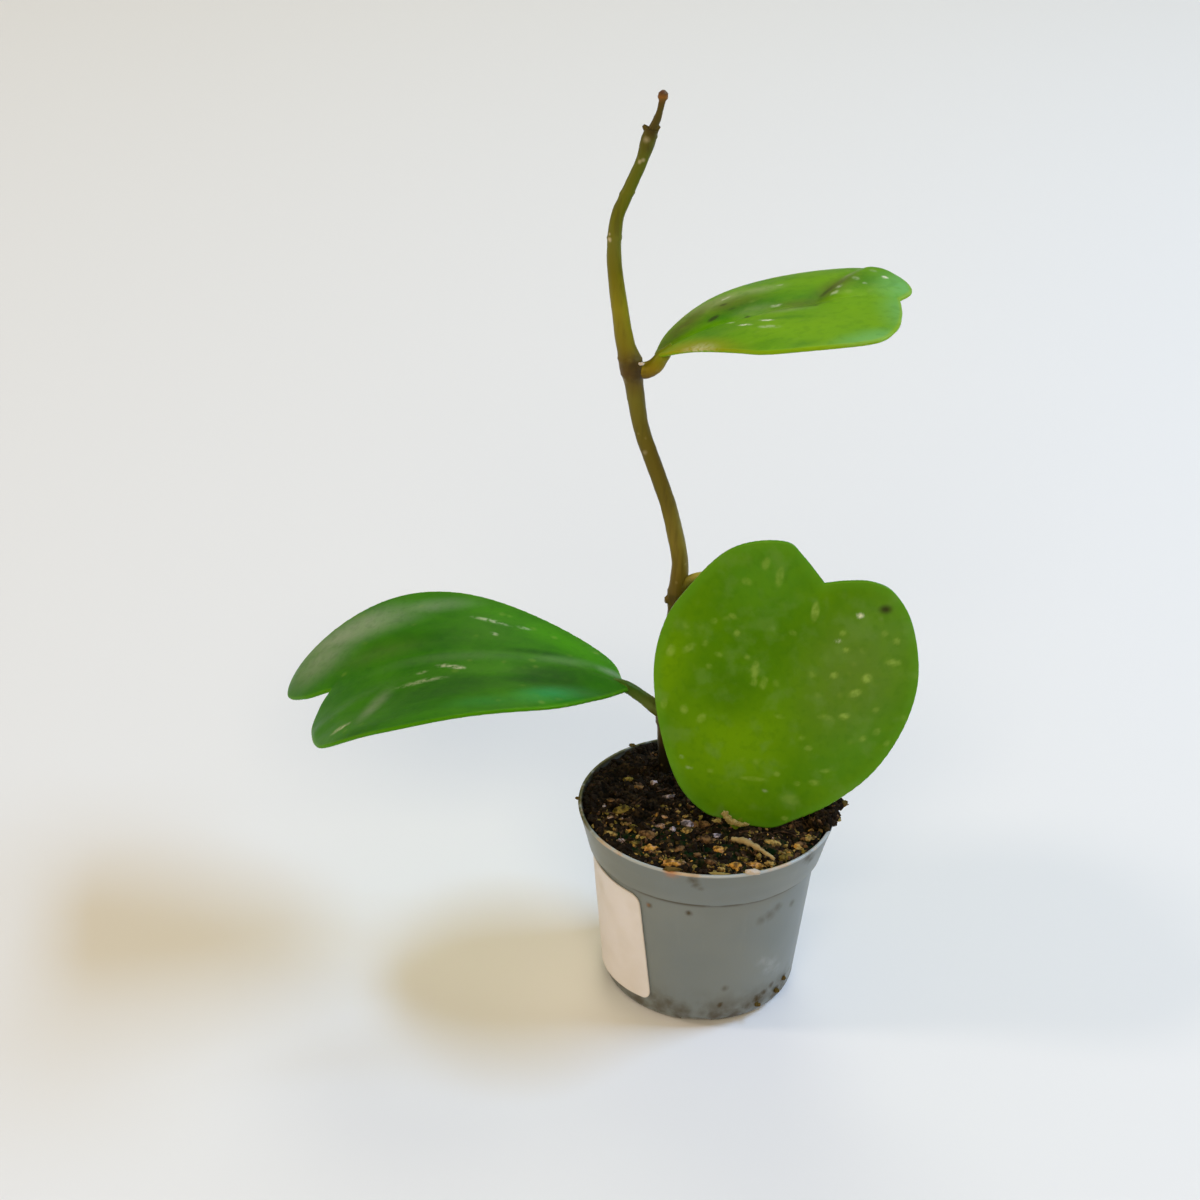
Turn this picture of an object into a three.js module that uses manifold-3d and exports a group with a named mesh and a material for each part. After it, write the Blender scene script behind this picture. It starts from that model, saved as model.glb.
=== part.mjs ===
// Sweetheart hoya (Hoya kerrii) rooted in a small grey nursery pot.
//
// Units are millimetres and +Z is up. The origin is the middle of the pot's underside, on the
// surface that the pot stands on. +X points right and +Y points back as the plant is seen from
// the front, so -Y faces the viewer.
//
// The plant is one climbing stem with three thick, heart-shaped leaves. One leaf stands in the
// soil on its own petiole, one arches out to the left of the first node, and one grows to the
// right of the third node. Above it the stem ends in a thin dried tip.

import * as THREE from 'three';
import { mergeVertices } from 'three/addons/utils/BufferGeometryUtils.js';
import Module from 'manifold-3d';

const wasm = await Module();
wasm.setup();

// Driving dimensions

const GAP = 0.3;

const POT = {
  height: 48.3,
  rimRadius: 30,
  collarEdgeRadius: 27.4,
  collarEdgeHeight: 38.4,
  collarUndercut: 0.8,
  bodyTopRadius: 26.1,
  baseRadius: 22.8,
  footRound: 5,
  footSteps: 4,
  wall: 0.9,
  floor: 1.3,
  sides: 60,
};

const DRAIN = {
  count: 5,
  firstAngle: -20,
  width: 7,
  height: 2.2,
  innerRadius: 16.5,
};

const LABEL = {
  rightAngle: -120,
  leanPerMm: -0.2,
  wrap: 92,
  bottom: 6,
  bottomFall: 2,
  top: 36,
  cornerRadius: 2.5,
  thickness: 0.3,
  gap: 0.2,
  columns: 22,
  rows: 6,
};

// The soil's hollows are plane waves: how deep, how steep in x and in y, and where they start.
const SOIL = {
  level: 47.3,
  edgeRadius: 28.1,
  dome: 1.1,
  frontFall: 0.5,
  hollows: [
    { depth: 0.35, acrossX: 0.31, acrossY: 0.24, start: 1.2 },
    { depth: 0.3, acrossX: 0.83, acrossY: -0.52, start: 0.4 },
    { depth: 0.22, acrossX: 0.77, acrossY: 1.31, start: 1.6 },
  ],
  rings: 12,
  sides: 48,
  holeClearance: 0.45,
};

const SPILL = {
  lumps: [
    { at: [26.6, -4.1, 48.8], size: [3.8, 5.6, 2.3] },
    { at: [29.2, -0.9, 50.0], size: [2.1, 2.4, 1.7] },
  ],
};

const CHIPS = {
  seed: 5,
  count: 46,
  smallest: 0.8,
  largest: 2.1,
  widthShare: [0.5, 0.9],
  heightShare: [0.45, 0.75],
  tilt: 0.5,
  sunk: 0.1,
  fromAngle: -205,
  toAngle: 25,
  rimClearance: 4,
  holeClearance: 4.6,
};

// Each stem point is x, y, z and the stem's radius there. The swellings are the nodes.
const STEM = {
  sides: 10,
  stepsPerPoint: 2,
  path: [
    [-7.5, 13.0, 22.0, 1.2],
    [-8.4, 13.6, 36.0, 1.8],
    [-9.6, 14.0, 52.0, 1.8],
    [-10.0, 14.0, 59.5, 1.9],
    [-10.1, 14.0, 63.0, 2.4],
    [-10.3, 13.8, 67.0, 1.9],
    [-10.0, 13.0, 79.0, 1.8],
    [-8.9, 12.6, 92.0, 1.9],
    [-8.8, 12.5, 96.0, 2.3],
    [-8.5, 12.5, 100.5, 2.1],
    [-8.5, 12.8, 105.0, 1.9],
    [-9.5, 13.3, 110.0, 1.9],
    [-11.7, 14.2, 118.3, 1.8],
    [-15.2, 15.5, 127.5, 1.8],
    [-18.4, 16.8, 136.0, 1.8],
    [-20.2, 18.4, 145.0, 2.05],
    [-21.0, 18.9, 149.7, 2.7],
    [-22.6, 19.6, 155.0, 2.1],
    [-23.9, 20.3, 162.0, 1.85],
    [-25.5, 21.4, 172.6, 1.65],
    [-25.7, 21.8, 178.0, 1.55],
    [-25.1, 22.2, 183.5, 1.45],
    [-23.0, 22.7, 189.0, 1.4],
    [-20.4, 23.3, 195.4, 1.3],
    [-19.2, 23.8, 199.5, 1.6],
    [-18.5, 24.0, 202.3, 1.5],
  ],
};

// Short stumps that belong to the stem: a leaf scar at the second node and a pair of bud
// scales at the fourth.
const STEM_STUMPS = [
  { from: [-9.4, 12.5, 95.6], to: [-11.5, 12.0, 95.1], radii: [1.3, 0.7] },
  { from: [-18.8, 24.0, 201.3], to: [-20.3, 24.0, 203.0], radii: [1.0, 0.5] },
  { from: [-18.4, 24.0, 201.5], to: [-16.9, 24.0, 203.0], radii: [1.0, 0.5] },
];

const SHOOT_TIP = {
  sides: 8,
  stepsPerPoint: 2,
  path: [
    [-18.4, 24.0, 202.2, 0.95],
    [-17.5, 24.3, 204.4, 0.85],
    [-16.9, 24.5, 206.3, 0.7],
    [-16.5, 24.8, 208.2, 0.75],
    [-16.4, 24.9, 209.0, 1.15],
    [-16.3, 25.0, 209.9, 1.05],
    [-16.3, 25.0, 210.5, 0.4],
  ],
};

const SIDE_SHOOT = {
  sides: 8,
  stepsPerPoint: 3,
  path: [
    [-8.0, 12.5, 97.6, 1.6],
    [-6.5, 11.4, 100.3, 1.3],
    [-4.6, 10.0, 102.3, 1.15],
    [-2.2, 8.6, 103.5, 1.1],
  ],
};

const ROOTS = {
  count: 6,
  seed: 11,
  crownTop: 21.6,
  crownRadius: 1.5,
  crownHeight: 3.2,
  lowest: 4.5,
  leastFall: 5,
  spread: 11,
  leastSpreadShare: 0.55,
  rearShare: 0.45,
  arch: 1.5,
  sway: 0.4,
  radius: 0.75,
  tipRadius: 0.4,
  sides: 6,
  steps: 4,
  channelClearance: 0.6,
};

const BLADE = {
  midThickness: 2.7,
  edgeThickness: 0.9,
  edgeRound: 3,
  foldEase: 0.15,
  cells: 5,
  rowsPerPoint: 3,
  ribStart: -0.1,
  ribStep: 0.01,
  ribSteps: 145,
};

// An outline point is the distance along the midrib and the distance out from it. Side a of a
// leaf is on the left of its heading when its upper face looks at the viewer.
const HEART_LEAF = {
  base: [7.0, -10.0, 49.2],
  heading: [0.27, 0.2, 0.94],
  facing: [0, -0.98, 0.21],
  length: 68,
  notch: 61,
  outlineA: [
    [0.5, 2], [0.5, 8.5], [5.5, 16.5], [17, 24.5], [30, 30], [41.5, 31], [50.5, 28.5],
    [60, 24], [65, 18.5], [67.5, 11], [65.5, 6.5],
  ],
  outlineB: [
    [0.5, 2.5], [1.5, 7.5], [4.5, 11.5], [11.5, 19], [21.5, 25.5], [34, 28.5], [46, 27.5],
    [57.5, 22], [63.5, 15.5], [64.5, 10], [63, 4.5],
  ],
  halfWidths: [31.5, 29],
  bend: 0.06,
  droop: 0,
  twist: 0,
  cup: [-0.05, -0.05],
  fold: 0.02,
  petiole: [
    [9.0, -9.9, 56.0, 1.1],
    [7.6, -9.7, 51.5, 1.9],
    [6.6, -9.0, 47.0, 1.9],
    [6.0, -7.6, 41.0, 1.8],
    [5.6, -6.0, 33.0, 1.5],
  ],
};

const LEFT_LEAF = {
  base: [-19.4, 14.5, 70.6],
  heading: [-0.95, 0.08, 0.31],
  facing: [0.31, 0.04, 0.95],
  length: 82,
  notch: 73,
  outlineA: [
    [-0.5, 2], [6.5, 12], [19.5, 25], [44, 33.5], [60.5, 31], [72.5, 25], [77.5, 13.5],
    [76, 5],
  ],
  outlineB: [
    [1, 1], [6, 10.5], [25, 21], [44.5, 28.5], [61.5, 29], [81.5, 21], [87.5, 12.5],
    [81.5, 4.5],
  ],
  halfWidths: [33, 28.5],
  bend: -0.64,
  droop: -0.46,
  twist: -0.21,
  cup: [0.135, 0.035],
  fold: -0.017,
  petiole: [
    [-9.0, 14.0, 62.5, 1.9],
    [-12.4, 14.1, 65.2, 1.7],
    [-16.0, 14.4, 68.0, 1.55],
    [-19.6, 14.5, 70.4, 1.5],
    [-24.5, 14.9, 71.7, 0.9],
  ],
};

const UPPER_LEAF = {
  base: [-16.0, 19.0, 152.0],
  heading: [0.81, 0.01, 0.59],
  facing: [-0.59, 0.03, 0.81],
  length: 59,
  notch: 55.5,
  outlineA: [
    [0, 1], [4.2, 9.3], [16, 20.3], [31, 24.5], [44.5, 24], [52, 19], [56.5, 12],
    [58.5, 4],
  ],
  outlineB: [
    [1, 1], [8, 8.5], [19, 20], [28, 25.5], [47, 26], [53, 20.5], [55, 12],
    [55.5, 4],
  ],
  halfWidths: [27, 26],
  bend: -1.2,
  droop: 0.73,
  twist: 0.03,
  cup: [-0.21, -0.1],
  fold: 0.18,
  petiole: [
    [-20.6, 18.9, 149.2, 2.0],
    [-18.0, 18.9, 148.9, 1.9],
    [-15.9, 18.9, 150.0, 1.8],
    [-14.4, 18.9, 152.2, 1.6],
    [-12.0, 19.0, 155.0, 0.9],
  ],
};

const PETIOLE = { sides: 8, stepsPerPoint: 3 };

const FINISH = {
  pot: { color: 0x73777a, roughness: 0.55, metalness: 0 },
  label: { color: 0xe4dcd2, roughness: 0.7, metalness: 0 },
  soil: { color: 0x1e1611, roughness: 0.95, metalness: 0 },
  roots: { color: 0xb59a74, roughness: 0.85, metalness: 0 },
  stem: { color: 0x5b5a22, roughness: 0.6, metalness: 0 },
  sideShoot: { color: 0x8a8f2c, roughness: 0.55, metalness: 0 },
  shootTip: { color: 0x5e3d22, roughness: 0.7, metalness: 0 },
  heartLeaf: { color: 0x4b8410, roughness: 0.45, metalness: 0 },
  leftLeaf: { color: 0x2f6f16, roughness: 0.4, metalness: 0 },
  upperLeaf: { color: 0x589a0c, roughness: 0.4, metalness: 0 },
};

// Small helpers

const radians = THREE.MathUtils.degToRad;

const lerp = THREE.MathUtils.lerp;

function polar(radius, angle, z) {
  return new THREE.Vector3(radius * Math.cos(angle), radius * Math.sin(angle), z);
}

/** Repeatable random numbers from 0 to 1. */
function seededRandom(seed) {
  THREE.MathUtils.seededRandom(seed);
  return () => THREE.MathUtils.seededRandom();
}

/** Collects vertices and triangles and gives them back as one geometry. */
class MeshBuilder {
  constructor() {
    this.positions = [];
    this.indices = [];
  }

  vertex(point) {
    this.positions.push(point.x, point.y, point.z);
    return this.positions.length / 3 - 1;
  }

  triangle(a, b, c) {
    this.indices.push(a, b, c);
  }

  quad(a, b, c, d) {
    this.triangle(a, b, c);
    this.triangle(a, c, d);
  }

  geometry() {
    const geometry = new THREE.BufferGeometry();
    geometry.setAttribute('position', new THREE.Float32BufferAttribute(this.positions, 3));
    geometry.setIndex(this.indices);
    return geometry;
  }
}

function toSolid(geometry) {
  const bare = geometry.clone();
  bare.deleteAttribute('normal');
  bare.deleteAttribute('uv');
  const merged = mergeVertices(bare, 1e-5);
  return new wasm.Manifold(new wasm.Mesh({
    numProp: 3,
    vertProperties: new Float32Array(merged.attributes.position.array),
    triVerts: new Uint32Array(merged.index.array),
  }));
}

function toGeometry(solid) {
  const mesh = solid.getMesh();
  const geometry = new THREE.BufferGeometry();
  geometry.setAttribute('position', new THREE.BufferAttribute(mesh.vertProperties, 3));
  geometry.setIndex(new THREE.BufferAttribute(mesh.triVerts, 1));
  return geometry;
}

function namedMesh(name, geometry, finish) {
  geometry.computeVertexNormals();
  const mesh = new THREE.Mesh(geometry, new THREE.MeshStandardMaterial(finish));
  mesh.name = name;
  return mesh;
}

/** Closed solid from stacked rings of equal length, each end closed on its own middle. */
function ringStack(rings) {
  const builder = new MeshBuilder();
  const sides = rings[0].length;
  const ids = rings.map((ring) => ring.map((point) => builder.vertex(point)));
  for (let row = 0; row + 1 < rings.length; row += 1) {
    for (let side = 0; side < sides; side += 1) {
      const next = (side + 1) % sides;
      builder.quad(ids[row][side], ids[row][next], ids[row + 1][next], ids[row + 1][side]);
    }
  }
  const middleOf = (ring) => ring
    .reduce((sum, point) => sum.add(point), new THREE.Vector3())
    .divideScalar(sides);
  const first = builder.vertex(middleOf(rings[0]));
  const last = builder.vertex(middleOf(rings[rings.length - 1]));
  for (let side = 0; side < sides; side += 1) {
    const next = (side + 1) % sides;
    builder.triangle(first, ids[0][next], ids[0][side]);
    builder.triangle(last, ids[rings.length - 1][side], ids[rings.length - 1][next]);
  }
  return builder.geometry();
}

/** Round tube through points of x, y, z and radius, its frame carried along without twist. */
function sweep({ path, sides, stepsPerPoint }, extraRadius = 0) {
  const curve = new THREE.CatmullRomCurve3(path.map(([x, y, z]) => new THREE.Vector3(x, y, z)));
  const steps = (path.length - 1) * stepsPerPoint;
  const rings = [];
  let across = new THREE.Vector3(1, 0, 0);
  for (let step = 0; step <= steps; step += 1) {
    const at = step / steps;
    const centre = curve.getPoint(at);
    const along = curve.getTangent(at);
    across = across.clone().addScaledVector(along, -across.dot(along)).normalize();
    const up = new THREE.Vector3().crossVectors(along, across);
    const place = at * (path.length - 1);
    const index = Math.min(Math.floor(place), path.length - 2);
    const radius = lerp(path[index][3], path[index + 1][3], place - index) + extraRadius;
    rings.push(Array.from({ length: sides }, (_, side) => {
      const angle = (2 * Math.PI * side) / sides;
      return centre.clone()
        .addScaledVector(across, radius * Math.cos(angle))
        .addScaledVector(up, radius * Math.sin(angle));
    }));
  }
  return ringStack(rings);
}

/** Straight tapered stump between two points. */
function stump({ from, to, radii }, extraRadius) {
  const path = [[...from, radii[0]], [...to, radii[1]]];
  return sweep({ path, sides: STEM.sides, stepsPerPoint: 2 }, extraRadius);
}

// Pot

/** Outer radius of the pot's straight body at a height above its rounded foot. */
function bodyRadius(z) {
  const rise = (z - POT.footRound) / (POT.collarEdgeHeight - POT.collarUndercut - POT.footRound);
  return lerp(POT.baseRadius, POT.bodyTopRadius, rise);
}

/** Quarter round between the flat underside and the body, from the underside up. */
function footArc(radius, centreRadius) {
  return Array.from({ length: POT.footSteps + 1 }, (_, step) => {
    const angle = radians(-90 + (90 * step) / POT.footSteps);
    return [centreRadius + radius * Math.cos(angle), POT.footRound + radius * Math.sin(angle)];
  });
}

/** Radius and height pairs round the wall's section, from the axis outside to the axis inside. */
function potProfile() {
  const flat = POT.baseRadius - POT.footRound;
  const outside = [
    [0, 0],
    ...footArc(POT.footRound, flat),
    [POT.bodyTopRadius, POT.collarEdgeHeight - POT.collarUndercut],
    [POT.collarEdgeRadius, POT.collarEdgeHeight],
    [POT.rimRadius, POT.height],
  ];
  const inside = [
    [POT.rimRadius - POT.wall, POT.height],
    [POT.collarEdgeRadius - POT.wall, POT.collarEdgeHeight + POT.wall],
    [POT.bodyTopRadius - POT.wall, POT.collarEdgeHeight - POT.collarUndercut + POT.wall],
    ...footArc(POT.footRound - POT.floor, flat).reverse(),
    [0, POT.floor],
  ];
  return [...outside, ...inside];
}

/** Slots through the rounded foot, which let water out. */
function drainSlots() {
  const length = POT.baseRadius + POT.wall - DRAIN.innerRadius;
  const box = new THREE.BoxGeometry(length, DRAIN.width, 2 * DRAIN.height);
  box.translate(DRAIN.innerRadius + length / 2, 0, 0);
  return Array.from({ length: DRAIN.count }, (_, slot) => {
    const angle = radians(DRAIN.firstAngle + (360 * slot) / DRAIN.count);
    return box.clone().rotateZ(angle);
  });
}

function potMesh() {
  const points = potProfile().map(([radius, z]) => new THREE.Vector2(radius, z));
  const shell = new THREE.LatheGeometry(points, POT.sides).rotateX(Math.PI / 2);
  let solid = toSolid(shell);
  for (const slot of drainSlots()) {
    solid = solid.subtract(toSolid(slot));
  }
  return namedMesh('pot', toGeometry(solid), FINISH.pot);
}

// Label

/** How far a corner of the label is rounded off at a distance from its side edge. */
function cornerCut(fromEdge) {
  const inside = Math.max(LABEL.cornerRadius - fromEdge, 0);
  return LABEL.cornerRadius - Math.sqrt(LABEL.cornerRadius ** 2 - inside ** 2);
}

/** Blank sticker that follows the pot's body. */
function labelMesh() {
  const wrapLength = radians(LABEL.wrap) * POT.bodyTopRadius;
  const builder = new MeshBuilder();
  const layers = [LABEL.gap, LABEL.gap + LABEL.thickness].map((lift) => {
    const grid = [];
    for (let column = 0; column <= LABEL.columns; column += 1) {
      const ease = (1 - Math.cos((Math.PI * column) / LABEL.columns)) / 2;
      const fromEdge = Math.min(ease, 1 - ease) * wrapLength;
      const cut = cornerCut(fromEdge);
      const low = LABEL.bottom - LABEL.bottomFall * ease + cut;
      const high = LABEL.top - cut;
      grid.push(Array.from({ length: LABEL.rows + 1 }, (_, row) => {
        const z = lerp(low, high, row / LABEL.rows);
        const angle = LABEL.rightAngle + LABEL.leanPerMm * (z - LABEL.bottom) - LABEL.wrap * ease;
        const radius = bodyRadius(Math.max(z, POT.footRound)) + lift;
        return builder.vertex(polar(radius, radians(angle), z));
      }));
    }
    return grid;
  });
  const [inner, outer] = layers;
  for (let column = 0; column < LABEL.columns; column += 1) {
    for (let row = 0; row < LABEL.rows; row += 1) {
      const corners = (grid) => [
        grid[column][row], grid[column][row + 1], grid[column + 1][row + 1], grid[column + 1][row],
      ];
      builder.quad(...corners(outer));
      builder.quad(...corners(inner).reverse());
    }
    for (const row of [0, LABEL.rows]) {
      const edge = [
        outer[column][row], outer[column + 1][row], inner[column + 1][row], inner[column][row],
      ];
      builder.quad(...(row === 0 ? edge : edge.reverse()));
    }
  }
  for (let row = 0; row < LABEL.rows; row += 1) {
    for (const column of [0, LABEL.columns]) {
      const edge = [
        outer[column][row], inner[column][row], inner[column][row + 1], outer[column][row + 1],
      ];
      builder.quad(...(column === 0 ? edge : edge.reverse()));
    }
  }
  return namedMesh('label', builder.geometry(), FINISH.label);
}

// Soil

/** Height of the soil's surface: a low mound with gentle hollows. */
function soilTop(x, y) {
  const out = Math.hypot(x, y) / POT.rimRadius;
  const mound = SOIL.dome * (1 - out * out);
  const front = y < 0 ? SOIL.frontFall * (y / POT.rimRadius) : 0;
  const hollows = SOIL.hollows.map(({ depth, acrossX, acrossY, start }) => (
    depth * Math.sin(acrossX * x + acrossY * y + start)
  ));
  return SOIL.level + mound + front + hollows.reduce((sum, hollow) => sum + hollow);
}

/** Root ball that fills the pot, with a clearance all round. */
function soilBody() {
  const flat = POT.baseRadius - POT.footRound;
  const sideProfile = [
    ...footArc(POT.footRound - POT.floor - GAP, flat),
    [POT.bodyTopRadius - POT.wall - GAP, POT.collarEdgeHeight - POT.collarUndercut + POT.wall + GAP],
    [POT.collarEdgeRadius - POT.wall - GAP, POT.collarEdgeHeight + POT.wall + GAP],
  ];
  const ring = (radius, heightAt) => Array.from({ length: SOIL.sides }, (_, side) => {
    const point = polar(radius, (2 * Math.PI * side) / SOIL.sides, 0);
    point.z = heightAt(point);
    return point;
  });
  const sideRings = sideProfile.map(([radius, z]) => ring(radius, () => z));
  const topRings = Array.from({ length: SOIL.rings }, (_, step) => {
    const radius = SOIL.edgeRadius * (1 - step / SOIL.rings);
    return ring(radius, (point) => soilTop(point.x, point.y));
  });
  return toSolid(ringStack([...sideRings, ...topRings]));
}

/** Bits of bark and grit, half sunk in the surface, mostly towards the front. */
function soilChips() {
  const random = seededRandom(CHIPS.seed);
  const between = ([least, most]) => lerp(least, most, random());
  const holes = [STEM.path[2], HEART_LEAF.petiole[2]];
  const chips = [];
  while (chips.length < CHIPS.count) {
    const radius = (POT.rimRadius - CHIPS.rimClearance) * Math.sqrt(random());
    const at = polar(radius, radians(between([CHIPS.fromAngle, CHIPS.toAngle])), 0);
    const size = lerp(CHIPS.smallest, CHIPS.largest, random() ** 2);
    const chip = new THREE.OctahedronGeometry(size);
    chip.scale(1, between(CHIPS.widthShare), between(CHIPS.heightShare));
    chip.rotateX(between([-CHIPS.tilt, CHIPS.tilt])).rotateZ(random() * 2 * Math.PI);
    chip.translate(at.x, at.y, soilTop(at.x, at.y) - CHIPS.sunk * size);
    const clear = holes.every(([x, y]) => Math.hypot(at.x - x, at.y - y) > CHIPS.holeClearance);
    if (clear) {
      chips.push(toSolid(chip));
    }
  }
  return chips;
}

/** Soil heaped over the right side of the rim, kept clear of the rim itself. */
function soilSpill() {
  const inner = SOIL.edgeRadius;
  const top = POT.height + GAP;
  const rim = new THREE.LatheGeometry([
    new THREE.Vector2(inner, 0),
    new THREE.Vector2(2 * POT.rimRadius, 0),
    new THREE.Vector2(2 * POT.rimRadius, top),
    new THREE.Vector2(inner, top),
    new THREE.Vector2(inner, 0),
  ], POT.sides).rotateX(Math.PI / 2);
  return SPILL.lumps.map(({ at, size }) => {
    const lump = new THREE.IcosahedronGeometry(1, 1);
    lump.scale(...size).translate(...at);
    return toSolid(lump).subtract(toSolid(rim));
  });
}

/** Root paths: each leaves the crown, spreads outwards and turns down. */
function rootPaths() {
  const random = seededRandom(ROOTS.seed);
  const [crownX, crownY] = STEM.path[0];
  return Array.from({ length: ROOTS.count }, (_, root) => {
    const angle = (2 * Math.PI * (root + random() / 2)) / ROOTS.count;
    const reach = ROOTS.spread * lerp(ROOTS.leastSpreadShare, 1, random());
    const start = ROOTS.crownTop - ROOTS.crownHeight / 2;
    const end = lerp(ROOTS.lowest, start - ROOTS.leastFall, random() / 2);
    return Array.from({ length: ROOTS.steps + 1 }, (_unused, step) => {
      const along = step / ROOTS.steps;
      const out = reach * Math.sin(along * ROOTS.arch);
      const swing = angle + ROOTS.sway * Math.sin(Math.PI * along + root);
      const towardsRear = Math.sin(swing) > 0 ? ROOTS.rearShare : 1;
      return [
        crownX + out * Math.cos(swing),
        crownY + out * Math.sin(swing) * towardsRear,
        lerp(start, end, along ** ROOTS.arch),
        lerp(ROOTS.radius, ROOTS.tipRadius, along),
      ];
    });
  });
}

function rootCrown(extra) {
  const [x, y] = STEM.path[0];
  const crown = new THREE.CylinderGeometry(
    ROOTS.crownRadius + extra,
    ROOTS.crownRadius + extra,
    ROOTS.crownHeight + 2 * extra,
    ROOTS.sides * 2,
  );
  crown.rotateX(Math.PI / 2).translate(x, y, ROOTS.crownTop - ROOTS.crownHeight / 2);
  return toSolid(crown);
}

function rootSolid(extra = 0) {
  return rootPaths().reduce((solid, path) => {
    const spec = { path, sides: ROOTS.sides, stepsPerPoint: 2 };
    return solid.add(toSolid(sweep(spec, extra)));
  }, rootCrown(extra));
}

function soilMesh() {
  const fused = [...soilSpill(), ...soilChips()];
  const bank = fused.reduce((solid, piece) => solid.add(piece), soilBody());
  const petioleHole = { ...PETIOLE, path: HEART_LEAF.petiole };
  const holes = [
    toSolid(sweep(STEM, SOIL.holeClearance)),
    toSolid(sweep(petioleHole, SOIL.holeClearance)),
    rootSolid(ROOTS.channelClearance),
  ];
  const solid = holes.reduce((rest, hole) => rest.subtract(hole), bank);
  return namedMesh('soil', toGeometry(solid), FINISH.soil);
}

function rootsMesh() {
  return namedMesh('roots', toGeometry(rootSolid()), FINISH.roots);
}

// Stem

/** Stem with its stumps, made fatter by a clearance where it is used as a cutter. */
function stemSolid(extra = 0) {
  return STEM_STUMPS
    .map((piece) => toSolid(stump(piece, extra)))
    .reduce((sum, piece) => sum.add(piece), toSolid(sweep(STEM, extra)));
}

function stemMesh() {
  return namedMesh('stem', toGeometry(stemSolid()), FINISH.stem);
}

function shootTipMesh() {
  const solid = toSolid(sweep(SHOOT_TIP)).subtract(stemSolid(GAP));
  return namedMesh('shoot_tip', toGeometry(solid), FINISH.shootTip);
}

function sideShootMesh() {
  const solid = toSolid(sweep(SIDE_SHOOT)).subtract(stemSolid(GAP));
  return namedMesh('side_shoot', toGeometry(solid), FINISH.sideShoot);
}

// Leaves

/** Uniform spline through outline points, its ends carried on straight. */
function outlineCurve(points, rows) {
  const first = points[0].map((value, axis) => 2 * value - points[1][axis]);
  const last = points[points.length - 1]
    .map((value, axis) => 2 * value - points[points.length - 2][axis]);
  const padded = [first, ...points, last];
  return Array.from({ length: rows + 1 }, (_, row) => {
    const place = (row / rows) * (points.length - 1);
    const index = Math.min(Math.floor(place), points.length - 2);
    const t = place - index;
    const [p0, p1, p2, p3] = padded.slice(index, index + 4);
    return [0, 1].map((axis) => 0.5 * (
      2 * p1[axis]
      + (p2[axis] - p0[axis]) * t
      + (2 * p0[axis] - 5 * p1[axis] + 4 * p2[axis] - p3[axis]) * t ** 2
      + (3 * p1[axis] - p0[axis] - 3 * p2[axis] + p3[axis]) * t ** 3
    ));
  });
}

/** Midrib of a leaf in its own plane: place and slope at steps along it. */
function midribTable({ bend, droop, length }) {
  const slopeAt = (u) => bend * u + droop * u * u;
  const table = [{ u: BLADE.ribStart, along: 0, lift: 0, slope: slopeAt(BLADE.ribStart) }];
  for (let index = 1; index <= BLADE.ribSteps; index += 1) {
    const u = BLADE.ribStart + BLADE.ribStep * index;
    const slope = slopeAt(u);
    const before = table[index - 1];
    const move = (wave) => ((wave(slope) + wave(before.slope)) / 2) * BLADE.ribStep * length;
    table.push({
      u, slope, along: before.along + move(Math.cos), lift: before.lift + move(Math.sin),
    });
  }
  const zero = sampleTable(table, 0);
  return table.map((entry) => ({
    ...entry, along: entry.along - zero.along, lift: entry.lift - zero.lift,
  }));
}

/** Midrib's place and slope at a share of the leaf's length. */
function sampleTable(table, u) {
  const last = table.length - 1;
  const place = THREE.MathUtils.clamp((u - BLADE.ribStart) / BLADE.ribStep, 0, last);
  const index = Math.min(Math.floor(place), last - 1);
  const mix = (key) => lerp(table[index][key], table[index + 1][key], place - index);
  return { u, along: mix('along'), lift: mix('lift'), slope: mix('slope') };
}

/** Maps a leaf's flat outline into space: bend and droop along it, twist, fold and cup across. */
function leafSurface(leaf) {
  const heading = new THREE.Vector3(...leaf.heading).normalize();
  const facing = new THREE.Vector3(...leaf.facing);
  facing.addScaledVector(heading, -facing.dot(heading)).normalize();
  const side = new THREE.Vector3().crossVectors(facing, heading);
  const base = new THREE.Vector3(...leaf.base);
  const table = midribTable(leaf);
  return (along, out) => {
    const u = along / leaf.length;
    const rib = sampleTable(table, u);
    const normal = heading.clone().multiplyScalar(-Math.sin(rib.slope))
      .addScaledVector(facing, Math.cos(rib.slope));
    const turn = leaf.twist * u;
    const outward = side.clone().multiplyScalar(Math.cos(turn))
      .addScaledVector(normal, Math.sin(turn));
    const upward = side.clone().multiplyScalar(-Math.sin(turn))
      .addScaledVector(normal, Math.cos(turn));
    const half = leaf.halfWidths[out > 0 ? 0 : 1];
    const share = Math.abs(out) / half;
    const cup = leaf.cup[out > 0 ? 0 : 1] * half * share ** 2;
    const fold = (leaf.fold * half * share * share) / (share + BLADE.foldEase);
    const point = base.clone()
      .addScaledVector(heading, rib.along)
      .addScaledVector(facing, rib.lift)
      .addScaledVector(outward, out)
      .addScaledVector(upward, cup + fold);
    return { point, upward };
  };
}

/** Half of the blade's thickness at a share of the way from midrib to edge. */
function halfThickness(share) {
  const round = Math.sqrt(1 - share ** BLADE.edgeRound);
  return lerp(BLADE.edgeThickness, BLADE.midThickness, round) / 2;
}

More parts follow.
